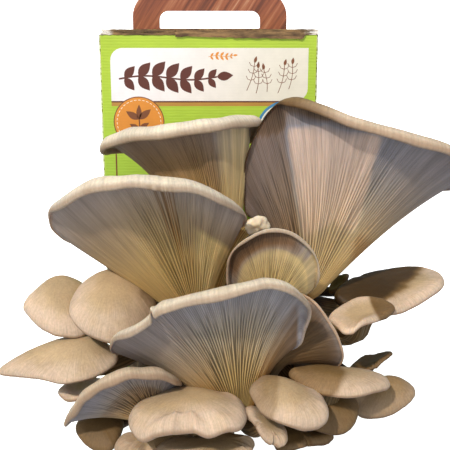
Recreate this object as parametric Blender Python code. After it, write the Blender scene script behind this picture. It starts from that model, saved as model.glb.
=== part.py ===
# Oyster mushroom grow kit: a printed carton with a carry handle, the block of substrate inside it,
# and the crowded bunch of oyster mushrooms that grows out through the window in its front.
# The tables are in millimetres, the scene is in metres. The origin is the middle of the carton's
# bottom, +Z is up, +X is to the right of someone who looks at the front, and the front faces -Y.

from math import atan2, cos, pi, radians, sin

import bmesh
import bpy
import numpy as np
from mathutils import Vector
from mathutils.bvhtree import BVHTree

MM = 0.001
GAP = 0.3
GROWN_GAP = 0.9

# Carton: corrugated board, folded and glued, with a window low in its front.
CARTON_WIDTH = 160
CARTON_DEPTH = 115
CARTON_HEIGHT = 304
BOARD = 2
WINDOW_WIDTH = 116
WINDOW_BOTTOM = 40
WINDOW_TOP = 165
WINDOW_CORNER = 18
FLAP_LEFT = -26
FLAP_RIGHT = 70
FLAP_BOARD = 1.6
FLAP_DROP = 2.5
FLAP_SPRING = 2

# Handle: two layers of board that come up through a slit in the top.
HANDLE_WIDTH = 121
HANDLE_RISE = 32
HANDLE_THICK = 3
HANDLE_CORNER = 20
SHOULDER_WIDTH = 138
SHOULDER_DROP = 26
SLOT_WIDTH = 79
SLOT_BOTTOM = 3
SLOT_RISE = 12
SLOT_ARCH = 2
SLOT_CORNER = 6

# Substrate: the block of sawdust and straw, in its bag, that fills the carton.
BLOCK_SIDE_PLAY = 3
BLOCK_HEIGHT = 266
BLOCK_CORNER = 14

# Clump: the knot of fused stalk bases that fills the window.
CLUMP_CENTRE = (14, -88, 90)
CLUMP_RADII = (48, 36, 48)
CLUMP_LUMP = 0.05
CLUMP_LUMP_COUNT = (5, 4)

# Flesh of the three forms of cap:
#   flare  how early the cap rises from its navel: below 0 puffed, 0 bowl, 1 cone, above 1 trumpet
#   lip    radius of the rolled rim, and turn the angle in degrees through which it rolls down
#   edge   thickness of the flesh at the rim
#   depth  thickness of the flesh over the stalk, where the gills run down it
#   stalk  radius of the stalk under the cap, and foot its radius at the clump
#   bow    how far the stalk keeps its direction at either end, as a share of its length
FUNNEL = dict(flare=1.3, lip=8, turn=85, edge=3.5, depth=24, stalk=11, foot=8, bow=(0.35, 0.3), pull=0.5)
DOME = dict(flare=-0.25, lip=6, turn=85, edge=3.5, depth=13, stalk=8, foot=7, bow=(0.35, 0.3), pull=0.2)
BUD = dict(flare=-0.1, lip=4, turn=80, edge=2.5, depth=7, stalk=5, foot=5, bow=(0.3, 0.25), pull=0.4)

# How many rings and sides the flesh is modelled with.
SIZES = {
    "big": dict(sides=14, rows=3, lip_rows=2, stalk_rows=2),
    "middle": dict(sides=12, rows=2, lip_rows=2, stalk_rows=2),
    "small": dict(sides=8, rows=1, lip_rows=1, stalk_rows=3),
}

# Each mushroom, front ones first: the navel on top of its cap, the places its rim goes through,
# counter-clockwise seen from the top of the cap, and root, where on the clump it starts: degrees
# from the front to the right, and up. A lean turns the cap's axis from its rim's towards its stalk's.
MUSHROOMS = {
    "big_front": dict(
        size="big", flesh=FUNNEL, navel=(20, -156, 75), root=(2, -38), lean=0.2, pull=0.35,
        rim=((-63, -176, 114), (-59, -188, 125), (-48, -199, 135), (-36, -207, 145), (-29, -212, 155),
             (-17, -215, 160), (0, -217, 164), (26, -215, 170), (37, -212, 171), (50, -208, 167),
             (59, -199, 159), (65, -188, 147), (64, -176, 129), (62, -166, 110), (53, -154, 99),
             (40, -142, 95), (23, -134, 94), (-2, -128, 94), (-30, -130, 92), (-56, -144, 93),
             (-64, -160, 101))),
    "big_left": dict(
        size="big", flesh=FUNNEL, navel=(-14, -130, 132), root=(-38, 36), lean=0.35,
        rim=((-103, -156, 194), (-98, -170, 205), (-86, -186, 216), (-68, -199, 227), (-51, -207, 230),
             (-33, -210, 231), (-15, -208, 229), (0, -202, 224), (14, -190, 215), (23, -174, 204),
             (26, -158, 192), (19, -134, 179), (-6, -114, 174), (-41, -104, 170), (-76, -110, 167),
             (-94, -122, 166), (-103, -140, 179))),
    "tall_right": dict(
        size="big", flesh=FUNNEL, navel=(82, -112, 144), root=(48, 40), lean=0.35,
        rim=((28, -106, 182), (25, -112, 202), (26, -120, 223), (33, -128, 245), (42, -138, 263),
             (56, -148, 270), (73, -160, 267), (90, -168, 261), (107, -173, 257), (125, -176, 253),
             (152, -168, 244), (175, -150, 230), (186, -126, 216), (170, -104, 208), (138, -88, 200),
             (104, -78, 192), (67, -76, 187), (43, -88, 184))),
    "tall_left": dict(
        size="big", flesh=FUNNEL, navel=(7, -106, 156), root=(-35, 66), lean=0.5,
        rim=((-74, -122, 237), (-63, -134, 244), (-48, -144, 248), (-29, -152, 251), (-1, -154, 256),
             (18, -144, 257), (34, -126, 256), (39, -108, 248), (31, -92, 237), (12, -82, 231),
             (-21, -78, 229), (-52, -86, 228), (-71, -104, 231))),
    "cup_middle": dict(
        size="big", flesh=FUNNEL, navel=(42, -160, 135), root=(26, 22), lean=0, flare=0.9, lip=6, depth=14, stalk=9, pull=0.6,
        rim=((14, -152, 144), (13, -162, 162), (15, -168, 173), (22, -172, 182), (35, -175, 190),
             (49, -175, 190), (62, -172, 183), (71, -166, 171), (74, -158, 155), (71, -146, 139),
             (60, -134, 129), (38, -132, 127), (21, -142, 133))),
    "broken": dict(
        size="small", flesh=BUD, navel=(34, -146, 185), root=(-8, 46),
        rim=((26, -152, 182), (28, -155, 190), (33, -155, 193), (39, -152, 191), (42, -146, 184),
             (40, -139, 177), (31, -140, 175))),
    "side_right": dict(
        size="middle", flesh=DOME, navel=(58, -152, 100), root=(48, -40), lean=0, flare=0.9, stalk=7, depth=12, pull=0.5,
        rim=((49, -128, 109), (57, -148, 138), (65, -155, 140), (73, -163, 136), (81, -167, 126),
             (89, -167, 111), (92, -163, 97), (88, -150, 84), (71, -134, 75), (55, -120, 75),
             (47, -118, 88))),
    "ear_right": dict(
        size="middle", flesh=DOME, navel=(125, -108, 132), root=(84, 26),
        rim=((91, -116, 121), (99, -122, 117), (115, -130, 116), (131, -135, 118), (146, -130, 123),
             (165, -116, 130), (171, -102, 132), (167, -90, 133), (150, -84, 134), (124, -86, 131),
             (107, -92, 128), (95, -104, 125))),
    "fold_right": dict(
        size="middle", flesh=DOME, navel=(100, -147, 115), root=(72, 14), flare=0.8, lip=4,
        rim=((82, -150, 123), (86, -160, 120), (90, -167, 117), (95, -169, 119), (102, -167, 124),
             (113, -159, 124), (127, -144, 122), (124, -134, 123), (117, -129, 124), (104, -129, 123),
             (93, -138, 123))),
    "leaf_right": dict(
        size="small", flesh=BUD, navel=(115, -119, 75), root=(88, -4), lean=0.2, pull=0.3,
        rim=((101, -122, 70), (106, -127, 70), (116, -130, 74), (124, -127, 80), (133, -118, 83),
             (127, -110, 79), (113, -108, 73))),
    "bud_back": dict(
        size="small", flesh=BUD, navel=(96, -88, 126), root=(112, 36), lean=0.2, stalk=4, foot=4, depth=3, pull=0.3,
        rim=((88, -92, 119), (93, -97, 122), (99, -96, 127), (103, -89, 131), (98, -80, 128),
             (91, -82, 124))),
    "oval_front": dict(
        size="middle", flesh=DOME, navel=(49, -186, 89), root=(30, -40),
        rim=((28, -180, 82), (31, -190, 78), (36, -198, 74), (45, -204, 72), (55, -207, 70),
             (63, -207, 68), (73, -203, 68), (78, -195, 70), (76, -180, 72), (66, -168, 74),
             (50, -162, 77), (37, -166, 82))),
    "low_right": dict(
        size="middle", flesh=DOME, navel=(85, -166, 90), root=(46, -16),
        rim=((55, -160, 84), (59, -170, 83), (68, -180, 81), (80, -186, 81), (94, -188, 81),
             (108, -184, 82), (121, -172, 80), (120, -158, 79), (107, -148, 79), (85, -144, 79),
             (65, -148, 80))),
    "far_right": dict(
        size="middle", flesh=DOME, navel=(127, -147, 74), root=(78, -22),
        rim=((99, -146, 58), (104, -154, 51), (114, -160, 52), (127, -160, 55), (140, -155, 62),
             (144, -147, 66), (139, -136, 67), (127, -128, 64), (110, -132, 61))),
    "round_right": dict(
        size="middle", flesh=DOME, navel=(83, -166, 68), root=(58, -40),
        rim=((64, -164, 58), (66, -172, 53), (75, -178, 51), (86, -180, 50), (95, -177, 52),
             (101, -170, 57), (103, -158, 61), (95, -148, 60), (78, -146, 57))),
    "under_right": dict(
        size="small", flesh=BUD, navel=(62, -161, 43), root=(40, -64),
        rim=((45, -160, 39), (47, -170, 33), (57, -174, 35), (75, -171, 39), (85, -164, 39),
             (78, -150, 37), (59, -148, 38))),
    "bud_front": dict(
        size="small", flesh=BUD, navel=(39, -188, 63), root=(14, -60),
        rim=((28, -184, 68), (31, -192, 63), (36, -197, 56), (42, -198, 52), (48, -194, 54),
             (49, -184, 55), (45, -174, 57), (35, -176, 64))),
    "bean_front": dict(
        size="middle", flesh=DOME, navel=(-11, -182, 80), root=(-26, -38),
        rim=((-51, -184, 61), (-47, -196, 59), (-41, -204, 59), (-31, -209, 65), (-18, -212, 69),
             (-8, -213, 70), (2, -212, 66), (13, -210, 69), (22, -204, 67), (26, -190, 68),
             (21, -170, 67), (5, -160, 66), (-15, -156, 65), (-36, -160, 65), (-47, -170, 62))),
    "under_front": dict(
        size="middle", flesh=DOME, navel=(9, -182, 47), root=(-12, -66),
        rim=((-31, -184, 35), (-23, -194, 34), (-1, -200, 35), (22, -198, 37), (34, -188, 41),
             (29, -172, 40), (7, -162, 37), (-20, -168, 35))),
    "under_left": dict(
        size="middle", flesh=DOME, navel=(-37, -168, 45), root=(-40, -52),
        rim=((-59, -170, 37), (-53, -182, 33), (-37, -188, 31), (-19, -186, 33), (-12, -172, 38),
             (-22, -156, 40), (-47, -156, 42))),
    "arch_left": dict(
        size="middle", flesh=DOME, navel=(-42, -160, 62), root=(-52, -50), flare=1.1, lip=7, stalk=8, depth=13, pull=0.4,
        rim=((-98, -160, 48), (-93, -171, 66), (-82, -182, 84), (-67, -190, 97), (-54, -193, 104),
             (-42, -191, 104), (-30, -186, 102), (-21, -176, 93), (-18, -160, 80), (-28, -142, 68),
             (-56, -130, 63), (-86, -138, 56))),
    "low_left": dict(
        size="small", flesh=BUD, navel=(-77, -146, 45), root=(-74, -44), pull=0.3,
        rim=((-93, -148, 37), (-87, -156, 31), (-77, -161, 27), (-66, -161, 28), (-61, -152, 33),
             (-61, -138, 39), (-78, -130, 40), (-90, -138, 39))),
    "bud_left": dict(
        size="small", flesh=BUD, navel=(-86, -137, 64), root=(-86, -22),
        rim=((-100, -142, 62), (-92, -148, 61), (-80, -148, 64), (-72, -140, 64), (-79, -126, 62),
             (-93, -128, 63))),
    "pointed_left": dict(
        size="middle", flesh=DOME, navel=(-87, -146, 104), root=(-70, -2),
        rim=((-142, -148, 81), (-130, -156, 81), (-114, -163, 82), (-100, -167, 81), (-89, -168, 82),
             (-75, -164, 84), (-62, -152, 89), (-66, -134, 91), (-85, -122, 92), (-106, -122, 91),
             (-125, -134, 87))),
    "outer_left": dict(
        size="middle", flesh=DOME, navel=(-99, -126, 136), root=(-84, 16),
        rim=((-128, -130, 123), (-123, -138, 117), (-115, -144, 112), (-107, -148, 109),
             (-99, -149, 107), (-85, -145, 106), (-77, -132, 114), (-81, -112, 123), (-98, -102, 129),
             (-117, -110, 129))),
    "shoulder_left": dict(
        size="middle", flesh=DOME, navel=(-65, -138, 145), root=(-54, 16),
        rim=((-94, -146, 126), (-92, -152, 122), (-85, -160, 117), (-76, -166, 114), (-64, -169, 111),
             (-51, -166, 110), (-39, -146, 114), (-37, -124, 123), (-50, -110, 131), (-72, -106, 136),
             (-87, -120, 135), (-93, -136, 130))),
    "tucked_left": dict(
        size="middle", flesh=DOME, navel=(-51, -92, 139), root=(-84, 40), lean=0.2, stalk=6, foot=6, depth=9,
        rim=((-83, -98, 155), (-78, -106, 150), (-71, -110, 146), (-62, -110, 140), (-51, -104, 129),
             (-42, -86, 128), (-52, -80, 139), (-72, -84, 149))),
}

# Base colour (linear) and roughness of each piece, and of every mushroom.
COLOURS = {
    "carton": ((0.42, 0.60, 0.07), 0.55),
    "top_flap": ((0.20, 0.12, 0.06), 0.85),
    "handle": ((0.32, 0.10, 0.05), 0.55),
    "substrate_block": ((0.42, 0.30, 0.17), 0.9),
    "stalk_clump": ((0.50, 0.37, 0.20), 0.75),
    "mushroom": ((0.55, 0.42, 0.28), 0.6),
}


def closed_curve(points, count):
    """Even places round the smooth closed curve through the points."""
    points = np.array(points, float)
    total = len(points)
    fine = 24 * total
    at = np.arange(fine) * total / fine
    k = at.astype(int)
    f = (at - k)[:, None]
    a, b, c, d = (points[(k + step) % total] for step in (-1, 0, 1, 2))
    curve = 0.5 * (2 * b + (c - a) * f + (2 * a - 5 * b + 4 * c - d) * f**2 + (3 * b - a - 3 * c + d) * f**3)
    loop = np.vstack((curve, curve[:1]))
    length = np.concatenate(((0,), np.cumsum(np.linalg.norm(np.diff(loop, axis=0), axis=1))))
    even = np.arange(count) * length[-1] / count
    return np.column_stack([np.interp(even, length, loop[:, axis]) for axis in range(3)])


def loop_normal(loop):
    """Unit normal of a closed loop, towards the side from which it runs counter-clockwise."""
    middle = loop - loop.mean(axis=0)
    normal = np.cross(middle, np.roll(middle, -1, axis=0)).sum(axis=0)
    return normal / np.linalg.norm(normal)


def turned(vectors, start, end):
    """The vectors, turned by the shortest turn that takes one unit direction to another."""
    axis = np.cross(start, end)
    cosine = np.dot(start, end)
    along = np.outer(vectors @ axis, axis) / (1 + cosine)
    return vectors * cosine + np.cross(axis, vectors) + along


def bezier(points, t):
    """Place and direction on a cubic curve."""
    a, b, c, d = (np.array(p, float) for p in points)
    place = (1 - t)**3 * a + 3 * (1 - t)**2 * t * b + 3 * (1 - t) * t**2 * c + t**3 * d
    way = (1 - t)**2 * (b - a) + 2 * (1 - t) * t * (c - b) + t**2 * (d - c)
    return place, way / np.linalg.norm(way)


def on_clump(azimuth, elevation, reach=1.0):
    """Place on the clump's surface, or at a share of its radii, and the way out from there."""
    a, e = radians(azimuth), radians(elevation)
    out = np.array((sin(a) * cos(e), -cos(a) * cos(e), sin(e)))
    place = np.array(CLUMP_CENTRE) + out * np.array(CLUMP_RADII) * reach
    return place, out


def mushroom_rings(navel, rim, flare, lip, turn, edge, depth, stalk, foot, root, bow,
                   sides, rows, lip_rows, stalk_rows, pull, lean=0):
    """Rings of places from the navel over the rim and down the stalk, with the two end places."""
    navel = np.array(navel, float)
    loop = closed_curve(rim, sides)
    arm = loop - navel
    middle = arm.mean(axis=0)
    up = loop_normal(loop) * (1 - lean) + middle / np.linalg.norm(middle) * lean
    up /= np.linalg.norm(up)
    lift = arm @ up
    flat = arm - np.outer(lift, up)
    reach = np.linalg.norm(flat, axis=1)
    out = flat / reach[:, None]

    lip = np.minimum(lip, 0.35 * reach)
    edge = np.minimum(edge, 0.6 * lip)
    slope = np.arctan2((2 - flare) * lift, reach)
    for _ in range(3):
        over = np.clip(slope / 0.3 + 0.5, 0, 1)
        full = reach - lip * (1 + np.sin(slope))
        rise = lift + lip * (np.cos(slope) - over)
        slope = np.arctan2((2 - flare) * rise, full)

    stem = np.minimum(stalk, 0.7 * full)

    place, away = on_clump(*root, reach=0.85)
    to_clump = (place - navel) / np.linalg.norm(place - navel)
    down = to_clump * pull - up * (1 - pull)
    down /= np.linalg.norm(down)

    def ring(r, h, drop=0):
        return navel + out * r[:, None] + np.outer(h, up) + down * drop

    def skin(share):
        return full * share, rise * (flare * share + (1 - flare) * share**2)

    def skin_slope(share):
        return np.arctan2(rise * (flare + 2 * (1 - flare) * share), full)

    spans = (np.arange(rows + 1) / rows)**0.9
    rings = [ring(*skin((stem + (full - stem) * u) / full)) for u in spans]
    bottom = np.minimum(-radians(turn), slope - 0.3)
    for step in range(1, lip_rows + 1):
        angle = slope + (bottom - slope) * step / lip_rows
        rings.append(ring(full + lip * (np.sin(slope) - np.sin(angle)),
                          rise + lip * (np.cos(angle) - np.cos(slope))))
    inner = lip - edge
    tip = (lip + inner) / 2
    rings.append(ring(full + lip * np.sin(slope) - tip * np.sin(bottom) + edge * 0.45 * np.cos(bottom),
                      rise - lip * np.cos(slope) + tip * np.cos(bottom) + edge * 0.45 * np.sin(bottom)))
    for step in range(lip_rows):
        angle = bottom + (slope - bottom) * step / lip_rows
        rings.append(ring(full + lip * np.sin(slope) - inner * np.sin(angle),
                          rise - lip * np.cos(slope) + inner * np.cos(angle)))
    for u in spans[::-1]:
        share = (stem + (full - stem) * u) / full
        r, height = skin(share)
        angle = skin_slope(share)
        rings.append(ring(r + edge * np.sin(angle) * u, height - edge * np.cos(angle),
                          depth * (1 - u)**2.6))
    top = rings[-1]
    start = top.mean(axis=0)
    span = np.linalg.norm(place - start)
    path = (start, start + down * span * bow[0], place + away * span * bow[1], place)
    spread = top - start
    level = spread - np.outer(spread @ down, down)
    tilt = spread - level
    before = down
    fine = 12
    for step in range(1, stalk_rows * fine + 1):
        t = step / (stalk_rows * fine)
        centre, way = bezier(path, t)
        level = turned(level, before, way)
        tilt = turned(tilt, before, way)
        before = way
        if step % fine == 0:
            rings.append(centre + level * (1 + (foot / stalk - 1) * t) + tilt * max(0, 1 - 2 * t))
    return navel, rings, place


def ring_solid(first, rings, last):
    """A closed skin through the rings, from one end place to the other: a sphere pulled to shape."""
    sides = len(rings[0])
    rows = len(rings) + 1
    bm = bmesh.new()
    bmesh.ops.create_uvsphere(bm, u_segments=sides, v_segments=rows, radius=1)
    for vert in bm.verts:
        x, y, z = vert.co
        row = round((pi / 2 - np.arcsin(np.clip(z, -1, 1))) / pi * rows)
        side = round(atan2(y, x) / (2 * pi) * sides) % sides
        if row == 0:
            place = first
        elif row == rows:
            place = last
        else:
            place = rings[row - 1][side]
        vert.co = Vector(place) * MM
    return bm


def finish(name, colour, roughness):
    """A plain material of its own for one piece."""
    material = bpy.data.materials.new(name)
    material.use_nodes = True
    shader = material.node_tree.nodes["Principled BSDF"]
    shader.inputs["Base Color"].default_value = (*colour, 1)
    shader.inputs["Roughness"].default_value = roughness
    shader.inputs["Metallic"].default_value = 0
    return material


def new_collection(name):
    collection = bpy.data.collections.new(name)
    bpy.context.scene.collection.children.link(collection)
    return collection


def add_mesh(name, bm, collection):
    mesh = bpy.data.meshes.new(name)
    bm.to_mesh(mesh)
    bm.free()
    body = bpy.data.objects.new(name, mesh)
    collection.objects.link(body)
    return body


def add_box(name, low, high, collection):
    """A box between two corners, given in millimetres."""
    size = [(b - a) * MM for a, b in zip(low, high)]
    middle = [(a + b) / 2 * MM for a, b in zip(low, high)]
    bm = bmesh.new()
    bmesh.ops.create_cube(bm, size=1)
    bmesh.ops.scale(bm, vec=size, verts=bm.verts)
    bmesh.ops.translate(bm, vec=middle, verts=bm.verts)
    return add_mesh(name, bm, collection)


def round_edges(body, width, segments, only_along=None):
    """Bevel a box's edges, or only those along one axis, in its mesh."""
    bm = bmesh.new()
    bm.from_mesh(body.data)
    edges = bm.edges[:]
    if only_along is not None:
        edges = [edge for edge in edges
                 if abs((edge.verts[0].co - edge.verts[1].co).normalized()[only_along]) > 0.9]
    bmesh.ops.bevel(bm, geom=edges, offset=width * MM, segments=segments, profile=0.5,
                    affect="EDGES", material=-1)
    bm.to_mesh(body.data)
    bm.free()


def cut(body, cutter):
    modifier = body.modifiers.new(cutter.name, "BOOLEAN")
    modifier.operation = "DIFFERENCE"
    modifier.object = cutter
    cutter.hide_render = True
    cutter.display_type = "WIRE"


def carton(parts, cutters):
    half = CARTON_WIDTH / 2
    deep = CARTON_DEPTH / 2
    body = add_box("carton", (-half, -deep, 0), (half, deep, CARTON_HEIGHT), parts)
    cavity = add_box("carton_cavity", (BOARD - half, BOARD - deep, BOARD),
                     (half - BOARD, deep - BOARD, CARTON_HEIGHT - BOARD), cutters)
    window = add_box("window_cut", (-WINDOW_WIDTH / 2, -deep - BOARD, WINDOW_BOTTOM),
                     (WINDOW_WIDTH / 2, -deep + 2 * BOARD, WINDOW_TOP), cutters)
    round_edges(window, WINDOW_CORNER, 3, only_along=1)
    slit = add_box("handle_slit", (-HANDLE_WIDTH / 2 - GAP, -HANDLE_THICK / 2 - GAP, CARTON_HEIGHT - 2 * BOARD),
                   (HANDLE_WIDTH / 2 + GAP, HANDLE_THICK / 2 + GAP, CARTON_HEIGHT + BOARD), cutters)
    for cutter in (cavity, window, slit):
        cut(body, cutter)
    return body


def top_flap(parts):
    """The upper flap of the lid, a little sprung, with its front edge bent over the carton's."""
    low = CARTON_HEIGHT + GAP
    front = -CARTON_DEPTH / 2 - GAP
    body = add_box("top_flap", (FLAP_LEFT, front - FLAP_BOARD, low),
                   (FLAP_RIGHT, -HANDLE_THICK / 2 - 2, low + FLAP_BOARD), parts)
    bm = bmesh.new()
    bm.from_mesh(body.data)
    cut_at = Vector((0, front, 0)) * MM
    bmesh.ops.bisect_plane(bm, geom=bm.verts[:] + bm.edges[:] + bm.faces[:], plane_co=cut_at,
                           plane_no=(0, 1, 0))
    under = [face for face in bm.faces
             if face.normal.z < -0.9 and face.calc_center_median().y < cut_at.y]
    drop = bmesh.ops.extrude_discrete_faces(bm, faces=under)["faces"]
    bmesh.ops.translate(bm, vec=(0, 0, -FLAP_DROP * MM), verts=drop[0].verts)
    for vert in bm.verts:
        vert.co.z += (FLAP_RIGHT * MM - vert.co.x) * FLAP_SPRING / (FLAP_RIGHT - FLAP_LEFT)
    bm.to_mesh(body.data)
    bm.free()
    return body


def arc(centre, radius, start, end, steps):
    """Places along an arc, with angles in degrees."""
    turn = [radians(start + (end - start) * step / steps) for step in range(steps + 1)]
    return [(centre[0] + radius * cos(a), centre[1] + radius * sin(a)) for a in turn]


def handle(parts):
    """Flat outline with its hand slot, upright across the middle of the carton."""
    half = HANDLE_WIDTH / 2
    shoulder = SHOULDER_WIDTH / 2
    top = CARTON_HEIGHT + HANDLE_RISE
    under_top = CARTON_HEIGHT - BOARD - GAP
    outline = [(-shoulder, CARTON_HEIGHT - SHOULDER_DROP), (shoulder, CARTON_HEIGHT - SHOULDER_DROP),
               (shoulder, under_top), (half, under_top)]
    outline += arc((half - HANDLE_CORNER, top - HANDLE_CORNER), HANDLE_CORNER, 0, 90, 5)
    outline += arc((HANDLE_CORNER - half, top - HANDLE_CORNER), HANDLE_CORNER, 90, 180, 5)
    outline += [(-half, under_top), (-shoulder, under_top)]
    slot_half = SLOT_WIDTH / 2
    slot_low = CARTON_HEIGHT + SLOT_BOTTOM
    shoulder_high = slot_low + SLOT_RISE - SLOT_CORNER
    slot = [(-slot_half, slot_low), (slot_half, slot_low)]
    slot += arc((slot_half - SLOT_CORNER, shoulder_high), SLOT_CORNER, 0, 90, 3)
    slot += [(0, slot_low + SLOT_RISE + SLOT_ARCH)]
    slot += arc((SLOT_CORNER - slot_half, shoulder_high), SLOT_CORNER, 90, 180, 3)
    curve = bpy.data.curves.new("handle", "CURVE")
    curve.dimensions = "2D"
    curve.fill_mode = "BOTH"
    curve.extrude = HANDLE_THICK / 2 * MM
    for places in (outline, slot):
        spline = curve.splines.new("POLY")
        spline.points.add(len(places) - 1)
        for point, (x, z) in zip(spline.points, places):
            point.co = (x * MM, z * MM, 0, 1)
        spline.use_cyclic_u = True
    body = bpy.data.objects.new("handle", curve)
    body.rotation_euler = (pi / 2, 0, 0)
    parts.objects.link(body)
    return body


def substrate_block(parts):
    half = CARTON_WIDTH / 2 - BOARD - BLOCK_SIDE_PLAY
    deep = CARTON_DEPTH / 2 - BOARD - BLOCK_SIDE_PLAY
    body = add_box("substrate_block", (-half, -deep, BOARD + GAP), (half, deep, BOARD + GAP + BLOCK_HEIGHT), parts)
    round_edges(body, BLOCK_CORNER, 2)
    return body


def clump(parts):
    """Lumpy knot of stalk bases, flat at the back where it leaves the block."""
    back = -(CARTON_DEPTH / 2 - BOARD - BLOCK_SIDE_PLAY) - GAP
    bm = bmesh.new()
    bmesh.ops.create_icosphere(bm, subdivisions=2, radius=1)
    for vert in bm.verts:
        x, y, z = vert.co
        around, up = CLUMP_LUMP_COUNT
        swell = 1 + CLUMP_LUMP * sin(around * atan2(y, x)) * sin(up * z * pi / 2)
        place = [c + r * swell * a for c, r, a in zip(CLUMP_CENTRE, CLUMP_RADII, (x, y, z))]
        place[1] = min(place[1], back)
        vert.co = Vector(place) * MM
    return add_mesh("stalk_clump", bm, parts)


def swollen(body, cutters):
    """A copy that stands a hair's gap proud all round, to part a neighbour from the body."""
    bm = bmesh.new()
    bm.from_mesh(body.data)
    bm.normal_update()
    moves = [vert.normal * GROWN_GAP * MM for vert in bm.verts]
    for vert, move in zip(bm.verts, moves):
        vert.co += move
    return add_mesh(body.name + "_room", bm, cutters)


def tree(body):
    bm = bmesh.new()
    bm.from_mesh(body.data)
    found = BVHTree.FromBMesh(bm)
    bm.free()
    return found


def mushrooms(parts, cutters, base):
    """All the mushrooms; where one grew against another in front of it, it is parted from it."""
    done = [(base, swollen(base, cutters))]
    for name, spec in MUSHROOMS.items():
        shape = {**spec["flesh"], **{key: value for key, value in spec.items() if key not in ("flesh", "size")}}
        body = add_mesh("mushroom_" + name, ring_solid(*mushroom_rings(**shape, **SIZES[spec["size"]])), parts)
        for other, room in done:
            if tree(body).overlap(tree(room)):
                cut(body, room)
        done.append((body, swollen(body, cutters)))


def build():
    for body in list(bpy.data.objects):
        bpy.data.objects.remove(body)
    parts = new_collection("oyster_mushroom_grow_kit")
    cutters = new_collection("cutters")
    carton(parts, cutters)
    top_flap(parts)
    handle(parts)
    substrate_block(parts)
    mushrooms(parts, cutters, clump(parts))
    for body in parts.objects:
        colour, roughness = COLOURS.get(body.name, COLOURS["mushroom"])
        body.data.materials.append(finish(body.name, colour, roughness))
    cutters.hide_render = True


if __name__ == "__main__":
    build()
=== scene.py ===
# Oyster mushroom grow kit, dressed: the printed carton with its worn edges and wood-print handle, and the
# bunch of oyster mushrooms with their gills. Metres, +Z up, the carton's front faces -Y.

from functools import partial
from math import cos, pi, radians, sin

import bmesh
import bpy
import numpy as np
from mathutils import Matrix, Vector


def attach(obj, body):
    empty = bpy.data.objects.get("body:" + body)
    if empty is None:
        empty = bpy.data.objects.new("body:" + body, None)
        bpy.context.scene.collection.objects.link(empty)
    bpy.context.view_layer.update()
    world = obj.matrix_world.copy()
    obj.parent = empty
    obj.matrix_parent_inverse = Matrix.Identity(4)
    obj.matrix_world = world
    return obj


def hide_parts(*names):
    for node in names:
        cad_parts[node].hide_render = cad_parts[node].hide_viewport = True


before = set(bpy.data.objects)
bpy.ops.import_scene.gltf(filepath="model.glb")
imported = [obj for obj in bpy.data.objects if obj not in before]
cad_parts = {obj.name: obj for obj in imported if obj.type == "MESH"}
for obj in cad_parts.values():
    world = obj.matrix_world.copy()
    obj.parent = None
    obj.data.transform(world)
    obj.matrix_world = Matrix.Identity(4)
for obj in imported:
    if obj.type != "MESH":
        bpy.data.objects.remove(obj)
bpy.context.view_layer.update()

MM = 0.001

# Carton, lid and handle, in millimetres.
CARTON_WIDTH = 160
CARTON_DEPTH = 115
CARTON_HEIGHT = 304
BOARD = 2
FOLD = 1.8
FLUTE = 2.1
RUBBED = 1.2
WINDOW_WIDTH = 116
WINDOW_BOTTOM = 40
WINDOW_TOP = 165
WINDOW_CORNER = 18
FRONT = -CARTON_DEPTH / 2
HANDLE_WIDTH = 121
HANDLE_RISE = 32
HANDLE_DEEP = 4
HANDLE_THICK = 3
HANDLE_CORNER = 20
SLOT_WIDTH = 79
SLOT_LOW = 3
SLOT_TOP = 16.4
SLOT_CORNER = 7
PLY = 1.9
TEAR = 0.35
LID_SINK = 0.035
LID_LEFT = -78.5
LID_RIGHT = 79.5
FLAP_LEFT = -24
FLAP_RIGHT = 70.5
FLAP_THICK = 1.3
# The flap's upper side from the back to its bent front edge, as y and z.
FLAP_BEND = ((-4, 304.2), (-30, 305.3), (-56, 306.4), (-57.9, 306.6), (-58.6, 306.3), (-59.0, 305.6),
             (-59.1, 304.4))
# How far a sine with one wave for each flute turns in a metre of height, in radians.
FLUTE_TURN = 2 * pi / (FLUTE * MM)

# Prints on the front: left, right, low and high of the label and of the frame, the badge's middle and
# radius, and the middle of the round panel.
LABEL = (-72, 73, 256.3, 294.8)
FRAME = (-70.3, 70.3, 118, 220.4)
BADGE = (-52, 240.7, 18.9)
PANEL = (57, 235)
CREAM, BROWN, TAN, ORANGE, RUST, CHALK, SKY = range(7)
INKS = (("label paper, cream", "#f4eff1", "#e6e0d0"), ("ink, dark brown", "#5c2a1e"),
        ("ink, tan", "#b98a3c"), ("ink, orange", "#de8f35"), ("ink, red brown", "#7d4a2c"),
        ("ink, chalk white", "#f2ead2"), ("ink, blue", "#3f86b8"))

# Substrate: the block of sawdust and straw that fills the carton.
BLOCK_SIDE_PLAY = 3
BLOCK_HEIGHT = 266
BLOCK_CORNER = 14

# Clump: the knot of fused stalk bases that fills the window.
CLUMP_CENTRE = (14, -88, 90)
CLUMP_RADII = (48, 36, 48)
# Each lump's middle and radii, and how finely it is modelled.
CLUMP_LUMPS = (((14, -88, 90), (56, 44, 56), 6), ((-30, -78, 66), (34, 24, 36), 5),
               ((46, -80, 70), (34, 26, 34), 5), ((8, -96, 52), (44, 34, 24), 5))
# How deep in the clump a stalk's root lies, as a share of its radii.
ROOT_DEEP = 0.85

# The photograph's camera: its place in mm, how many degrees down it looks, and its focal length in pixels.
CAMERA_PLACE = (12, -702, 327)
CAMERA_DOWN = 14.4
FOCAL_PIXELS = 867
IMAGE_PIXELS = 450
SENSOR = 36

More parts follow.
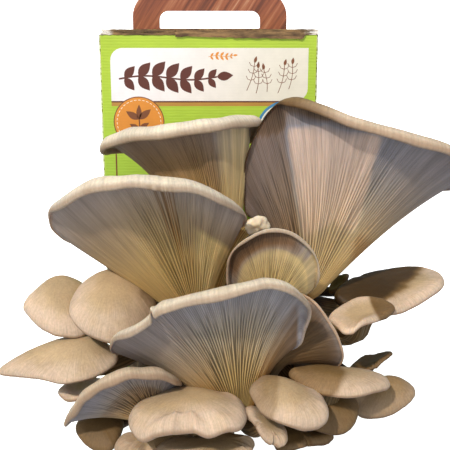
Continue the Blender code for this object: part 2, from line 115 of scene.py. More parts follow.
# Flesh of the three forms of cap:
#   flare  how early the cap rises from its navel: below 0 puffed, 0 bowl, 1 cone, above 1 trumpet
#   lip    radius of the rolled rim, and turn the angle in degrees through which it rolls down
#   edge   thickness of the flesh at the rim
#   depth  thickness of the flesh over the stalk, where the gills run down it
#   stalk  radius of the stalk under the cap, and foot its radius at the clump
#   bow    how far the stalk keeps its direction at either end, as a share of its length
#   hold   how far in from the rim its own unevenness reaches: the higher, the less far
FUNNEL = dict(flare=1.3, lip=8, turn=85, edge=3.5, depth=24, stalk=11, foot=8, bow=(0.35, 0.3), pull=0.5,
              hold=1.3)
DOME = dict(flare=-0.35, lip=10, turn=95, edge=4.5, depth=13, stalk=8, foot=7, bow=(0.35, 0.3), pull=0.2,
            hold=3, wave=0.3)
BUD = dict(flare=-0.2, lip=5, turn=90, edge=3, depth=7, stalk=5, foot=5, bow=(0.3, 0.25), pull=0.4, hold=3,
           wave=0.3)

# The form that each size has, where a mushroom states none.
FORMS = dict(big=FUNNEL, wide=FUNNEL, middle=DOME, small=BUD)

# How finely each size is modelled. The gills come in three lengths, so the rim has four times as many as
# the stalk, and each of those takes a few sides of the mesh.
SIZES = {
    "big": dict(gills=66, sides=1188, skin_rows=16, lip_rows=8, gill_rows=30, stalk_rows=14),
    "wide": dict(gills=48, sides=768, skin_rows=14, lip_rows=7, gill_rows=22, stalk_rows=12),
    "middle": dict(gills=24, sides=384, skin_rows=16, lip_rows=9, gill_rows=18, stalk_rows=14),
    "small": dict(gills=16, sides=256, skin_rows=12, lip_rows=7, gill_rows=12, stalk_rows=12),
}

# Along the skin from 0 at the navel over 1 at the rim to 2 at the stalk and 3 at the root: how much of its
# space a gill takes, how deep the gaps are, and how much the rim's fine folds show.
GILL_WIDTHS = ((1.0, 1.3, 1.42, 1.62, 1.8, 2), (1 / 8, 1 / 8, 1 / 6, 1 / 4, 1 / 3, 1 / 2.2))
GILL_DEPTHS = ((1.0, 1.04, 1.16, 1.45, 1.7, 1.9, 2.05, 2.3, 3),
               (0, 0.05, 0.22, 0.55, 1, 0.7, 0.3, 0.08, 0.03))
FOLD_SHARES = ((0, 0.6, 0.9, 1, 1.05), (0, 0.2, 1, 1, 0))
# A rim this far from the navel has the whole of its waves.
FULL_WAVE_REACH = 45

# Colours of the flesh: the skin on the dome and at the rim, the gills at the rim, further in and deep, the
# stalk, and pale gills for fresher flesh and for painted light. Then how much further in the gills change,
# and how bright their gaps are, which is painted shade.
LOOKS = {
    "warm": ("", "#c4ad8e", "#ded2bd", "#9f928a", "#a38d70", "#d6b576", "#c9a86c", "#e8cd90"),
    "grey": (", grey gills", "#bfa88a", "#cbb8a0", "#918d92", "#a2978b", "#c6ab78", "#c9a86e", "#eecbb0",
             0.12, (0.85, 0.5)),
    "ridged": (", ridged gills", "#c4ad8e", "#ded2bd", "#9c989b", "#ab9f8d", "#c6a76c", "#c19e60", "#e8cd90",
               0.1, (0.68, 0.36)),
    "cap": (", caps", "#b79e7b", "#cbb39b", "#7d7067", "#6b5a44", "#6b563a", "#75603f", "#d9b79c", 0.0,
            (0.85, 0.6)),
}

# Each mushroom: the navel on top of its cap, the places its rim goes through, counter-clockwise seen
# from the top of the cap, and root, where on the clump it starts: degrees from the front to the right,
# and up. A lean turns the cap's axis from its rim's towards its stalk's. Ways are seen from the front, in
# degrees, from the rim's middle. The band is where the rim is rolled wide: its way, half its spread and how
# far it fades. A bulge makes the side that way more of a bowl, and a notch is a tear in the rim there.
# The tone is how aged and brown the flesh is: above 0 older and browner, and on caps that lie under others
# partly painted shade; below 0 paler, as fresher flesh and as painted light. A patch adds to the tone,
# mostly
# as painted shadow and painted light: its way, half its spread, from where to where along the skin (0 navel,
# 1 rim, 2 stalk) and how much. A shade adds to the tone left of a line, as painted shade, and as painted
# light where its amount is below 0: the line's two places of x and z, from where along the skin, and how
# much. The gills lie close and level in a calm place: its way, half its spread and how much.
MUSHROOMS = {
    "big_front": dict(
        size="big", navel=(20, -156, 75), root=(2, -38), lean=0.2, pull=0.35, look="ridged", tone=0.1,
        band=(90, 66, 50), bulges=((180, 0.5), (-40, 0.5)), notch=(146, 2.2),
        calm=((-20, 70, 0.75), (190, 50, 0.5)),
        patches=((175, 62, 1.1, 2.0, 0.4), (-90, 80, 1.65, 2.4, 0.4), (-20, 60, 1.15, 2.3, 1.0)),
        rim=((-63, -176, 114), (-59, -188, 125), (-48, -199, 135), (-36, -207, 145), (-29, -212, 155),
             (-17, -215, 160), (0, -217, 164), (26, -215, 170), (37, -212, 171), (50, -208, 167),
             (59, -199, 159), (65, -188, 147), (64, -176, 129), (62, -166, 110), (53, -154, 99),
             (40, -142, 95), (23, -134, 94), (-2, -128, 94), (-30, -130, 92), (-56, -144, 93),
             (-64, -160, 101))),
    # Painted light: the pale patch on the right flank's gills, where light shines through the thin flesh.
    "big_left": dict(
        size="big", navel=(-14, -130, 132), root=(-38, 36), lean=0.35, look="warm", band=(90, 60, 45),
        bulges=((190, 0.7), (-25, 0.8)), calm=((195, 100, 0.7), (-10, 45, 0.6)),
        patches=((8, 34, 1.42, 2.1, -1.1), (205, 100, 1.15, 2.5, 0.15), (79, 3, 1.0, 1.6, 0.6),
                 (73, 3, 1.0, 1.7, 0.9), (68, 2, 1.0, 1.7, 0.7), (63, 3, 1.0, 1.7, 0.8),
                 (57, 2, 1.0, 1.6, 0.6)),
        rim=((-103, -156, 194), (-98, -170, 205), (-86, -186, 216), (-68, -199, 227), (-51, -207, 230),
             (-33, -210, 231), (-15, -208, 229), (0, -202, 224), (14, -190, 215), (23, -174, 204),
             (26, -158, 192), (19, -134, 179), (-6, -114, 174), (-41, -104, 170), (-76, -110, 167),
             (-94, -122, 166), (-103, -140, 179))),
    # Painted shadow on the left fold, under the upper rim and on the right wing, and painted light on the
    # gills between them; the stalk is browner.
    "tall_right": dict(
        size="big", navel=(87, -112, 141), root=(48, 40), lean=0.35, stalk=13, look="grey",
        band=(48, 80, 16), bulges=((185, 1.0),), calm=((-5, 60, 0.6),),
        patches=((185, 60, 0.7, 1.03, 1.1), (140, 34, 0.7, 1.03, 1.1), (116, 36, 1.02, 1.14, 1.4),
                 (0, 999, 1.75, 2.6, 0.4), (-5, 60, 1.1, 2.6, 0.4)),
        shades=((66, 163, 49, 264, 0, 0.75), (48, 264, 65, 163, 1.13, -0.5), (112, 265, 99, 147, 1.13, 0.5),
                (50, 246, 80, 255, 1.01, 0.6)),
        rim=((28, -106, 182), (25, -112, 202), (26, -120, 223), (33, -128, 245), (43, -138, 262),
             (55, -148, 271), (73, -160, 267), (90, -168, 261), (107, -173, 257), (125, -176, 253),
             (152, -168, 244), (175, -150, 230), (186, -126, 216), (170, -104, 208), (138, -88, 200),
             (104, -78, 192), (67, -76, 187), (43, -88, 184))),
    # Painted light: the pale patch on the right flank's gills; its other gills are browner.
    "tall_left": dict(
        size="big", navel=(14, -106, 156), root=(-35, 66), lean=0.5, look="warm", band=(95, 82, 40),
        bulges=((-20, 1.0),), calm=((180, 80, 0.5), (5, 40, 0.5)),
        patches=((0, 999, 1.0, 2.6, 0.45), (8, 34, 1.12, 2.3, -1.0)),
        rim=((-74, -122, 237), (-63, -134, 244), (-48, -144, 248), (-29, -152, 251), (-1, -154, 256),
             (18, -144, 257), (34, -126, 256), (39, -108, 248), (31, -92, 237), (12, -82, 231),
             (-21, -78, 229), (-52, -86, 228), (-71, -104, 231))),
    # Painted shadow of the upper rim in a dark crescent on the gills, and painted light on the gills below
    # it and on the rim.
    "cup_middle": dict(
        size="wide", navel=(42, -160, 135), root=(26, 22), lean=0, flare=0.9, stalk=9, pull=0.6, look="warm",
        band=(95, 90, 40), lip=3.5, edge=2.6, depth=12, hold=2,
        patches=((112, 90, 1.02, 1.3, 1.7), (112, 300, 1.32, 2.3, -0.45), (0, 120, 1.02, 1.4, -0.6),
                 (0, 999, 0.5, 1.0, -0.3)),
        rim=((14, -152, 144), (13, -162, 162), (15, -168, 173), (22, -172, 182), (35, -175, 190),
             (49, -175, 190), (62, -172, 183), (71, -166, 171), (74, -158, 155), (71, -146, 139),
             (60, -134, 129), (38, -132, 127), (21, -142, 133))),
    "broken": dict(
        size="small", navel=(33, -156, 187), root=(-14, 40), look="warm", lip=2.5, edge=2, rough=1.0,
        tone=-0.45,
        rim=((25, -150, 183), (30, -148, 179), (38, -147, 179), (42, -149, 184), (39, -152, 190),
             (34, -153, 192), (28, -152, 189))),
    # Painted light on the upper left gills, and painted shade over the inner gills.
    "side_right": dict(
        navel=(58, -152, 100), root=(48, -40), lean=0, flare=0.9, stalk=7, depth=12, pull=0.5,
        band=(60, 80, 40), lip=2, edge=2, hold=2, calm=((0, 999, 0.6),),
        patches=((120, 40, 1.05, 1.5, -0.9), (-30, 999, 1.2, 2.6, 0.5)),
        rim=((49, -128, 109), (57, -148, 138), (65, -155, 140), (73, -163, 136), (81, -167, 126),
             (89, -167, 111), (92, -163, 97), (88, -150, 84), (71, -134, 75), (55, -120, 75),
             (47, -118, 88))),
    # Painted shadow of tall_right over the upper part of its cap, left of a line.
    "ear_right": dict(
        navel=(125, -108, 132), root=(84, 26), flare=0.1, lip=5, wave=0.15,
        shades=((118, 124, 162, 139, -1, 2.0),),
        rim=((91, -116, 121), (99, -122, 117), (115, -130, 116), (131, -135, 118), (146, -130, 123),
             (165, -116, 130), (171, -102, 132), (167, -90, 133), (150, -84, 134), (124, -86, 131),
             (107, -92, 128), (95, -104, 125))),
    # Painted shade on its right end.
    "fold_right": dict(
        navel=(105, -147, 123), root=(72, 14), flare=-0.1, lip=3, edge=2.4, depth=9, wave=0.1, hold=3,
        shades=((110, 132, 118, 116, -1, 1.3),),
        rim=((82, -150, 123), (86, -160, 120), (90, -167, 117), (95, -169, 119), (102, -167, 124),
             (113, -159, 124), (127, -144, 124), (124, -134, 127), (117, -129, 129), (104, -129, 129),
             (93, -138, 127))),
    # Its high tone makes it browner, partly as painted shade under the other caps.
    "leaf_right": dict(
        size="small", navel=(115, -119, 75), root=(88, -4), lean=0.2, pull=0.3, flare=0.3, lip=2, tone=1.3,
        rim=((101, -122, 70), (106, -127, 70), (116, -130, 74), (124, -127, 80), (133, -118, 83),
             (127, -110, 79), (113, -108, 73))),
    # Its high tone makes it browner, partly as painted shade under the other caps.
    "bud_back": dict(
        size="small", navel=(96, -88, 126), root=(112, 36), lean=0.2, stalk=4, foot=4, depth=3, pull=0.3,
        flare=0.3, lip=2, tone=1.7,
        rim=((88, -92, 119), (93, -97, 122), (99, -96, 127), (103, -89, 131), (98, -80, 128),
             (91, -82, 124))),
    "oval_front": dict(
        navel=(49, -186, 89), root=(30, -40), tone=0.1, shades=((40, 60, 48, 95, -1, 0.5),),
        rim=((28, -180, 82), (31, -190, 78), (36, -198, 74), (45, -204, 72), (55, -207, 70),
             (63, -207, 68), (73, -203, 68), (78, -195, 70), (76, -180, 72), (66, -168, 74),
             (50, -162, 77), (37, -166, 82))),
    # Painted shadow of big_front and side_right on its upper left part.
    "low_right": dict(
        navel=(85, -166, 90), root=(46, -16), tone=0.15, wave=0.1, lip=5, hold=6,
        shades=((76, 74, 95, 94, -1, 0.8),),
        rim=((55, -160, 84), (59, -170, 83), (68, -180, 81), (80, -186, 81), (94, -188, 81),
             (108, -184, 82), (121, -172, 80), (120, -158, 79), (107, -148, 79), (85, -144, 79),
             (65, -148, 80))),
    # Its high tone makes it browner, partly as painted shade under the other caps.
    "far_right": dict(
        navel=(127, -147, 74), root=(78, -22), tone=0.7,
        rim=((99, -146, 58), (104, -154, 51), (114, -160, 52), (127, -160, 55), (140, -155, 62),
             (144, -147, 66), (139, -136, 67), (127, -128, 64), (110, -132, 61))),
    # Its high tone makes it browner, partly as painted shade under the other caps.
    "round_right": dict(
        navel=(83, -166, 68), root=(58, -40), tone=1.3,
        rim=((64, -164, 58), (66, -172, 53), (75, -178, 51), (86, -180, 50), (95, -177, 52),
             (101, -170, 57), (103, -158, 61), (95, -148, 60), (78, -146, 57))),
    # Its high tone makes it browner, partly as painted shade under the other caps.
    "under_right": dict(
        size="small", navel=(62, -161, 43), root=(40, -64), tone=1.3,
        rim=((45, -160, 39), (47, -170, 33), (57, -174, 35), (75, -171, 39), (85, -164, 39),
             (78, -150, 37), (59, -148, 38))),
    "bud_front": dict(
        size="small", navel=(39, -188, 63), root=(14, -60), tone=0.3,
        rim=((28, -184, 68), (31, -192, 63), (36, -197, 56), (42, -198, 52), (48, -194, 54),
             (49, -184, 55), (45, -174, 57), (35, -176, 64))),
    "bean_front": dict(
        navel=(-11, -182, 80), root=(-26, -38), hold=10, rough=0.03, patches=((-90, 80, 0.7, 1.15, 0.45),),
        rim=((-51, -184, 61), (-47, -196, 59), (-41, -204, 59), (-31, -209, 65), (-18, -212, 69),
             (-8, -213, 70), (2, -212, 66), (13, -210, 69), (22, -204, 67), (26, -190, 68),
             (21, -170, 67), (5, -160, 66), (-15, -156, 65), (-36, -160, 65), (-47, -170, 62))),
    "under_front": dict(
        navel=(9, -182, 47), root=(-12, -66), tone=0.5,
        rim=((-31, -184, 35), (-23, -194, 34), (-1, -200, 35), (22, -198, 37), (34, -188, 41),
             (29, -172, 40), (7, -162, 37), (-20, -168, 35))),
    "under_left": dict(
        navel=(-37, -168, 45), root=(-40, -52), tone=0.5,
        rim=((-59, -170, 37), (-53, -182, 33), (-37, -188, 31), (-19, -186, 33), (-12, -172, 38),
             (-22, -156, 40), (-47, -156, 42))),
    "arch_left": dict(
        size="wide", flesh=DOME, navel=(-42, -160, 62), root=(-52, -50), flare=1.1, lip=7, stalk=8, depth=13,
        pull=0.4, look="grey", tone=0.2, band=(110, 80, 40), hold=2, wave=0.5,
        patches=((0, 999, 1.5, 2.6, 0.4),),
        rim=((-98, -160, 48), (-93, -171, 66), (-82, -182, 84), (-67, -190, 97), (-54, -193, 104),
             (-42, -191, 104), (-30, -186, 102), (-21, -176, 93), (-18, -160, 80), (-28, -142, 68),
             (-56, -130, 63), (-86, -138, 56))),
    # Its high tone makes it browner, partly as painted shade under the other caps.
    "low_left": dict(
        size="small", navel=(-77, -146, 45), root=(-74, -44), pull=0.3, tone=1.4,
        rim=((-93, -148, 37), (-87, -156, 31), (-77, -161, 27), (-66, -161, 28), (-61, -152, 33),
             (-61, -138, 39), (-78, -130, 40), (-90, -138, 39))),
    "bud_left": dict(
        size="small", navel=(-86, -137, 64), root=(-86, -22), tone=0.1,
        rim=((-100, -142, 62), (-92, -148, 61), (-80, -148, 64), (-72, -140, 64), (-79, -126, 62),
             (-93, -128, 63))),
    "pointed_left": dict(
        navel=(-87, -146, 104), root=(-70, -2), flare=0, lip=4.5, hold=6,
        rim=((-144, -148, 80), (-130, -156, 81), (-114, -163, 82), (-100, -167, 81), (-89, -168, 82),
             (-75, -164, 84), (-62, -152, 89), (-66, -134, 91), (-85, -122, 92), (-106, -122, 91),
             (-125, -134, 87))),
    "outer_left": dict(
        navel=(-106, -122, 139), root=(-84, 16), lip=8,
        rim=((-128, -130, 123), (-123, -138, 117), (-115, -144, 112), (-107, -148, 109), (-99, -149, 107),
             (-85, -145, 106), (-77, -132, 114), (-81, -112, 123), (-98, -102, 129), (-117, -110, 129))),
    # Painted shadow of big_left on its upper right side.
    "shoulder_left": dict(
        navel=(-65, -138, 145), root=(-54, 16), patches=((32, 60, 0.6, 1.0, 1.2),),
        rim=((-94, -146, 126), (-92, -152, 122), (-85, -160, 117), (-76, -166, 114), (-64, -169, 111),
             (-51, -166, 110), (-39, -146, 114), (-37, -124, 123), (-50, -110, 131), (-72, -106, 136),
             (-87, -120, 135), (-93, -136, 130))),
    # Its high tone makes it browner, partly as painted shade under the other caps.
    "tucked_left": dict(
        navel=(-51, -92, 139), root=(-84, 40), lean=0.2, stalk=6, foot=6, depth=9, tone=2, lip=3, edge=2.5,
        rim=((-80, -98, 153), (-75, -104, 149), (-71, -110, 146), (-62, -110, 140), (-51, -104, 129),
             (-42, -86, 128), (-52, -80, 139), (-72, -84, 149))),
}

NAVEL, RIM, STEM, ROOT = 0, 1, 2, 3


def closed_curve(points, shares):
    """Places on the smooth closed curve through the points, at shares of its length."""
    points = np.array(points, float)
    total = len(points)
    fine = 48 * total
    at = np.arange(fine) * total / fine
    k = at.astype(int)
    f = (at - k)[:, None]
    a, b, c, d = (points[(k + step) % total] for step in (-1, 0, 1, 2))
    curve = 0.5 * (2 * b + (c - a) * f + (2 * a - 5 * b + 4 * c - d) * f**2 + (3 * b - a - 3 * c + d) * f**3)
    loop = np.vstack((curve, curve[:1]))
    length = np.concatenate(((0,), np.cumsum(np.linalg.norm(np.diff(loop, axis=0), axis=1))))
    at = np.mod(shares, 1) * length[-1]
    return np.column_stack([np.interp(at, length, loop[:, axis]) for axis in range(3)])


def loop_normal(loop):
    """Unit normal of a closed loop, towards the side from which it runs counter-clockwise."""
    middle = loop - loop.mean(axis=0)
    normal = np.cross(middle, np.roll(middle, -1, axis=0)).sum(axis=0)
    return normal / np.linalg.norm(normal)


def turned(vectors, start, end):
    """The vectors, turned by the shortest turn that takes one unit direction to another."""
    axis = np.cross(start, end)
    cosine = np.dot(start, end)
    return vectors * cosine + np.cross(axis, vectors) + np.outer(vectors @ axis, axis) / (1 + cosine)


def bezier(points, t):
    """Place and direction on a cubic curve."""
    a, b, c, d = points
    place = (1 - t)**3 * a + 3 * (1 - t)**2 * t * b + 3 * (1 - t) * t**2 * c + t**3 * d
    way = (1 - t)**2 * (b - a) + 2 * (1 - t) * t * (c - b) + t**2 * (d - c)
    return place, way / np.linalg.norm(way)


def way_out(azimuth, elevation):
    """Unit direction that lies so many degrees to the right of the front, and up."""
    a, e = radians(azimuth), radians(elevation)
    return np.array((sin(a) * cos(e), -cos(a) * cos(e), sin(e)))


def smooth_step(low, high, value):
    t = np.clip((value - low) / (high - low), 0, 1)
    return t * t * (3 - 2 * t)


def ripple(around, rng, low, high, count=6):
    """Smooth noise round a closed loop, within -1 to 1, from waves of low to high turns."""
    total = np.zeros_like(around)
    for turns in rng.integers(low, high + 1, count):
        total += np.sin(turns * around + rng.uniform(0, 2 * pi))
    return total / count**0.5 / 1.5


def slow_waves(values, turns):
    """The part of values round a closed loop that changes slowly."""
    waves = np.fft.rfft(values)
    waves[turns + 1:] = 0
    return np.fft.irfft(waves, len(values))


def swell(places, rng, longest, shortest, count=14):
    """Smooth noise in space, about -1 to 1, from waves between two lengths in millimetres."""
    total = np.zeros(places.shape[:-1])
    for _ in range(count):
        way = rng.normal(size=3)
        way *= 2 * pi / rng.uniform(shortest, longest) / np.linalg.norm(way)
        total += np.sin(places @ way + rng.uniform(0, 2 * pi))
    return total / count**0.5 / 1.3


def front_angle(loop):
    """The way from a loop's middle to each place on it, seen from the front, in degrees."""
    middle = loop.mean(axis=0)
    return np.degrees(np.arctan2(loop[:, 2] - middle[2], loop[:, 0] - middle[0]))


def off_way(ways, way):
    """How many degrees each way is off one of them."""
    return np.abs((ways - way + 180) % 360 - 180)


def near_way(ways, way, spread):
    """How near each way is to one of them: 1 close to it, 0 further off than the spread."""
    return 1 - smooth_step(0.35, 1, off_way(ways, way) / spread)


def mushroom_rows(navel, rim, flare, lip, turn, edge, depth, stalk, foot, root, bow, pull, hold, shares,
                  rng, skin_rows, lip_rows, gill_rows, stalk_rows, lean=0, wave=0.6, band=None, bulges=(),
                  notch=None):
    """Rows of places from the navel over the rim to the clump, and how far along each row lies."""
    navel = np.array(navel, float)
    around = shares * 2 * pi
    loop = closed_curve(rim, shares)
    arm = loop - navel
    even = closed_curve(rim, np.arange(96) / 96)
    middle = (even - navel).mean(axis=0)
    up = loop_normal(even) * (1 - lean) + middle / np.linalg.norm(middle) * lean
    up /= np.linalg.norm(up)
    flat = arm - np.outer(arm @ up, up)
    reach = np.linalg.norm(flat, axis=1)
    lift = arm @ up + wave * np.minimum(1, reach / FULL_WAVE_REACH) * ripple(around, rng, 4, 13)
    out = flat / reach[:, None]

    seen = front_angle(loop)
    lip = np.minimum(lip, 0.35 * reach) * (1 + 0.18 * wave * ripple(around, rng, 3, 11))
    if band:
        way, half, fade = band
        lip *= 1 - 0.85 * smooth_step(half, half + fade, off_way(seen, way))
    if notch:
        lip *= 1 - 0.75 * np.exp(-(off_way(seen, notch[0]) / notch[1])**2)
    for way, amount in bulges:
        flare = flare - amount * np.clip(np.cos(np.radians(seen - way)), 0, 1)
    flesh = edge
    edge = np.minimum(edge, 0.6 * lip)
    # The skin ends short of the rim, by as much as its slope lets the rolled edge reach.
    slope = np.arctan2((2 - flare) * lift, reach)
    for _ in range(3):
        over = np.clip(slope / 0.3 + 0.5, 0, 1)
        full = reach - lip * (1 + np.sin(slope))
        rise = lift + lip * (np.cos(slope) - over)
        slope = np.arctan2((2 - flare) * rise, full)
    stem = np.minimum(stalk, 0.7 * full)
    calm_full, calm_rise = slow_waves(full, 3), slow_waves(rise, 2)

    away = way_out(*root)
    place = np.array(CLUMP_CENTRE) + away * np.array(CLUMP_RADII) * ROOT_DEEP
    to_clump = (place - navel) / np.linalg.norm(place - navel)
    down = to_clump * pull - up * (1 - pull)
    down /= np.linalg.norm(down)

    def ring(r, h, drop=0):
        return navel + out * r[:, None] + np.outer(h, up) + down * drop

    def roll(r, angle, tip=0):
        return ring(full + lip * np.sin(slope) - r * np.sin(angle) + tip * np.cos(angle),
                    rise - lip * np.cos(slope) + r * np.cos(angle) + tip * np.sin(angle))

    def skin(share):
        near = share**hold
        wide = calm_full + (full - calm_full) * near
        high = calm_rise + (rise - calm_rise) * near
        return wide * share, high * (flare * share + (1 - flare) * share**2)

    rows = []
    for share in (np.arange(1, skin_rows + 1) / skin_rows)**0.85:
        rows.append((NAVEL + 0.9 * share, ring(*skin(share))))
    bottom = np.minimum(-radians(turn), slope - 0.3)
    for t in np.arange(1, lip_rows + 1) / lip_rows:
        rows.append((0.9 + 0.1 * t, roll(lip, slope + (bottom - slope) * t)))
    inner = lip - edge
    for t in (0.25, 0.5, 0.75):
        round_edge = roll((lip + inner) / 2 + edge / 2 * cos(pi * t), bottom, edge / 2 * sin(pi * t))
        rows.append((RIM + 0.02 * t, round_edge))
    for t in np.arange(lip_rows) / lip_rows:
        rows.append((RIM + 0.02 + 0.1 * t, roll(inner, bottom + (slope - bottom) * t)))
    for u in (1 - np.arange(gill_rows + 1) / gill_rows)**0.9:
        share = (stem + (full - stem) * u) / full
        r, height = skin(share)
        angle = np.arctan2(rise * (flare + 2 * (1 - flare) * share), full)
        thick = edge + (flesh - edge) * (1 - u)**0.5
        under = ring(r + thick * np.sin(angle) * u, height - thick * np.cos(angle), depth * (1 - u)**2.6)
        rows.append((RIM + 0.12 + 0.88 * (1 - u), under))
    start = under.mean(axis=0)
    span = np.linalg.norm(place - start)
    path = (start, start + down * span * bow[0], place + away * span * bow[1], place)
    level = under - start - np.outer((under - start) @ down, down)
    tilt = under - start - level
    before = down
    fine = 3
    for step in range(1, stalk_rows * fine + 1):
        t = step / (stalk_rows * fine)
        centre, way = bezier(path, t)
        level, tilt = turned(level, before, way), turned(tilt, before, way)
        before = way
        if step % fine == 0:
            stalk_ring = centre + level * (1 + (foot / stalk - 1) * t) + tilt * max(0, 1 - 2 * t)
            rows.append((STEM + t, stalk_ring))
    along, rows = zip(*rows)
    return np.array(rows), place, np.array(along)


def outward(rows):
    """Unit normals of a grid of places, whose rows run from the navel out and whose sides go round."""
    round_sides = (np.roll(rows, -1, axis=1) - np.roll(rows, 1, axis=1)) / 2
    normal = np.cross(np.gradient(rows, axis=0), round_sides)
    return normal / np.maximum(np.linalg.norm(normal, axis=2, keepdims=True), 1e-9)


def gill_crests(along, sides, gills, rng):
    """How high the gills stand, 0 to 1, row by row. Short ones start between the long ones."""
    pitch = sides / gills
    place = np.arange(sides)
    crest = np.zeros((len(along), sides))
    width = pitch * np.interp(along, *GILL_WIDTHS)
    for first, gap, ends, widest in ((0, pitch, 9, pitch / 2.2), (pitch / 2, pitch, 1.78, pitch / 4),
                                     (pitch / 4, pitch / 2, 1.5, pitch / 8)):
        away = np.abs((place - first + gap / 2) % gap - gap / 2)
        number = ((place - first + gap / 2) // gap).astype(int)
        each = rng.uniform(0.5, 1, number.max() + 2)[number]
        early = rng.uniform(-0.16, 0.08, number.max() + 2)[number]
        grown = 1 - smooth_step(ends - 0.14, ends, along[:, None] - early)
        shape = 1 - smooth_step(0.4, 1, away / np.minimum(width, widest)[:, None])
        crest = np.maximum(crest, shape * grown * each)
    return crest


def rolled_skin(sides, rows):
    """A closed skin of quads from one pole to another, a grid rolled up, and each place's row and side."""
    bm = bmesh.new()
    bmesh.ops.create_grid(bm, x_segments=sides, y_segments=rows, size=1)
    first = {(round((1 - v.co.y) / 2 * rows), round((v.co.x + 1) / 2 * sides)): v for v in bm.verts}
    same = {vert: first[(row, 0)] for (row, side), vert in first.items()
            if side == sides or row in (0, rows) and side > 0}
    bmesh.ops.weld_verts(bm, targetmap=same)
    mesh = as_mesh(bm)
    co = np.empty(len(mesh.vertices) * 3, np.float32)
    mesh.vertices.foreach_get("co", co)
    x, y, _ = co.reshape(-1, 3).T
    return mesh, np.rint((1 - y) / 2 * rows).astype(int), np.rint((x + 1) / 2 * sides).astype(int) % sides


def add_attribute(mesh, name, kind, field, values):
    attribute = mesh.attributes.new(name, kind, "POINT")
    attribute.data.foreach_set(field, values.astype(np.float32).ravel())


def mushroom(name, seed, size="middle", flesh=None, tone=0, patches=(), shades=(), calm=(), rough=0.07,
             **shape):
    """One mushroom, from a rolled skin whose rows are pulled over the cap, its gills and the stalk."""
    rng = np.random.default_rng(seed)
    fine = dict(SIZES[size])
    gills, sides = fine.pop("gills"), fine.pop("sides")
    # The gills stand a little unevenly: the sides of the mesh are shared out with them.
    rim_gills = gills * 4
    at_gill = rng.uniform(-0.3, 0.3, rim_gills)
    uneven = np.interp(np.arange(sides), np.arange(rim_gills + 1) * sides / rim_gills,
                       np.append(at_gill, at_gill[0]))
    shares = (np.arange(sides) + uneven * sides / rim_gills) / sides
    shape = {**(flesh or FORMS[size]), **shape}
    rows, root, along = mushroom_rows(shares=shares, rng=rng, **fine, **shape)
    normal = outward(rows)
    crest = gill_crests(along, sides, gills, rng)
    ways = front_angle(closed_curve(shape["rim"], shares))
    for way, spread, amount in calm:
        crest = 1 - (1 - crest) * (1 - amount * near_way(ways, way, spread))
    around = shares * 2 * pi
    deep = np.interp(along, *GILL_DEPTHS)[:, None]
    gill_depth = min(1.6, 0.45 * shape["edge"])
    dent = gill_depth * deep * (1 - crest) * (0.8 + 0.35 * ripple(around, rng, 3, 11))
    fold = 0.07 * ripple(around, rng, 9, 34) * np.interp(along, *FOLD_SHARES)[:, None]
    soft = np.interp(along, (0, 0.9, 1.0, 1.1), (1, 1, 0.5, 0))[:, None]
    lump = swell(rows, rng, 50, 18) * 0.35 + swell(rows, rng, 9, 4) * rough
    rows = rows + normal * (fold + lump * soft - dent)[:, :, None]

    mesh, row, side = rolled_skin(sides, len(along) + 1)
    navel, root = (np.broadcast_to(pole, (1, sides, 3)) for pole in (rows[0].mean(axis=0), root))
    grid = np.concatenate((navel, rows, root))
    mesh.vertices.foreach_set("co", (grid[row, side] * MM).astype(np.float32).ravel())
    far = np.concatenate(((NAVEL,), along, (ROOT,)))
    crests = np.concatenate((np.ones((1, sides)), np.where(deep > 0, crest, 1), np.ones((1, sides))))
    seen = ways + 6 * ripple(around, rng, 4, 30)
    tones = np.full(grid.shape[:2], float(tone))
    # Patches and shades add to the tone, mostly as painted shadow and painted light.
    for way, spread, start, end, amount in patches:
        down = smooth_step(start - 0.03, start + 0.03, far) * (1 - smooth_step(end - 0.12, end + 0.12, far))
        tones += amount * np.outer(down, near_way(seen, way, spread))
    for x0, z0, x1, z1, start, amount in shades:
        way = np.array((x1 - x0, z1 - z0)) / np.hypot(x1 - x0, z1 - z0)
        left = (grid[..., 2] - z0) * way[0] - (grid[..., 0] - x0) * way[1] + 0.7 * swell(grid, rng, 30, 6)
        tones += amount * smooth_step(-2, 2, left) * smooth_step(start, start + 0.05, far)[:, None]
    for key, values in (("along", far[row]), ("crest", crests[row, side]), ("tone", tones[row, side])):
        add_attribute(mesh, key, "FLOAT", "value", values)
    grain = np.column_stack((np.cos(around[side]), np.sin(around[side]), far[row]))
    add_attribute(mesh, "grain", "FLOAT_VECTOR", "vector", grain)
    return new_body(name, mesh, smooth=True)


def linear(code):
    """Linear colour of an sRGB hex code."""
    parts = [int(code[k:k + 2], 16) / 255 for k in (1, 3, 5)]
    return tuple(c / 12.92 if c <= 0.04045 else ((c + 0.055) / 1.055)**2.4 for c in parts) + (1,)


# Short names for nodes with their settings. Those in capitals are operations of a Math node.
KINDS = {
    "mix": ("Mix", dict(data_type="RGBA")),
    "tint": ("Mix", dict(data_type="RGBA", blend_type="MULTIPLY")),
    "grade": ("MapRange", dict(interpolation_type="SMOOTHSTEP")),
}


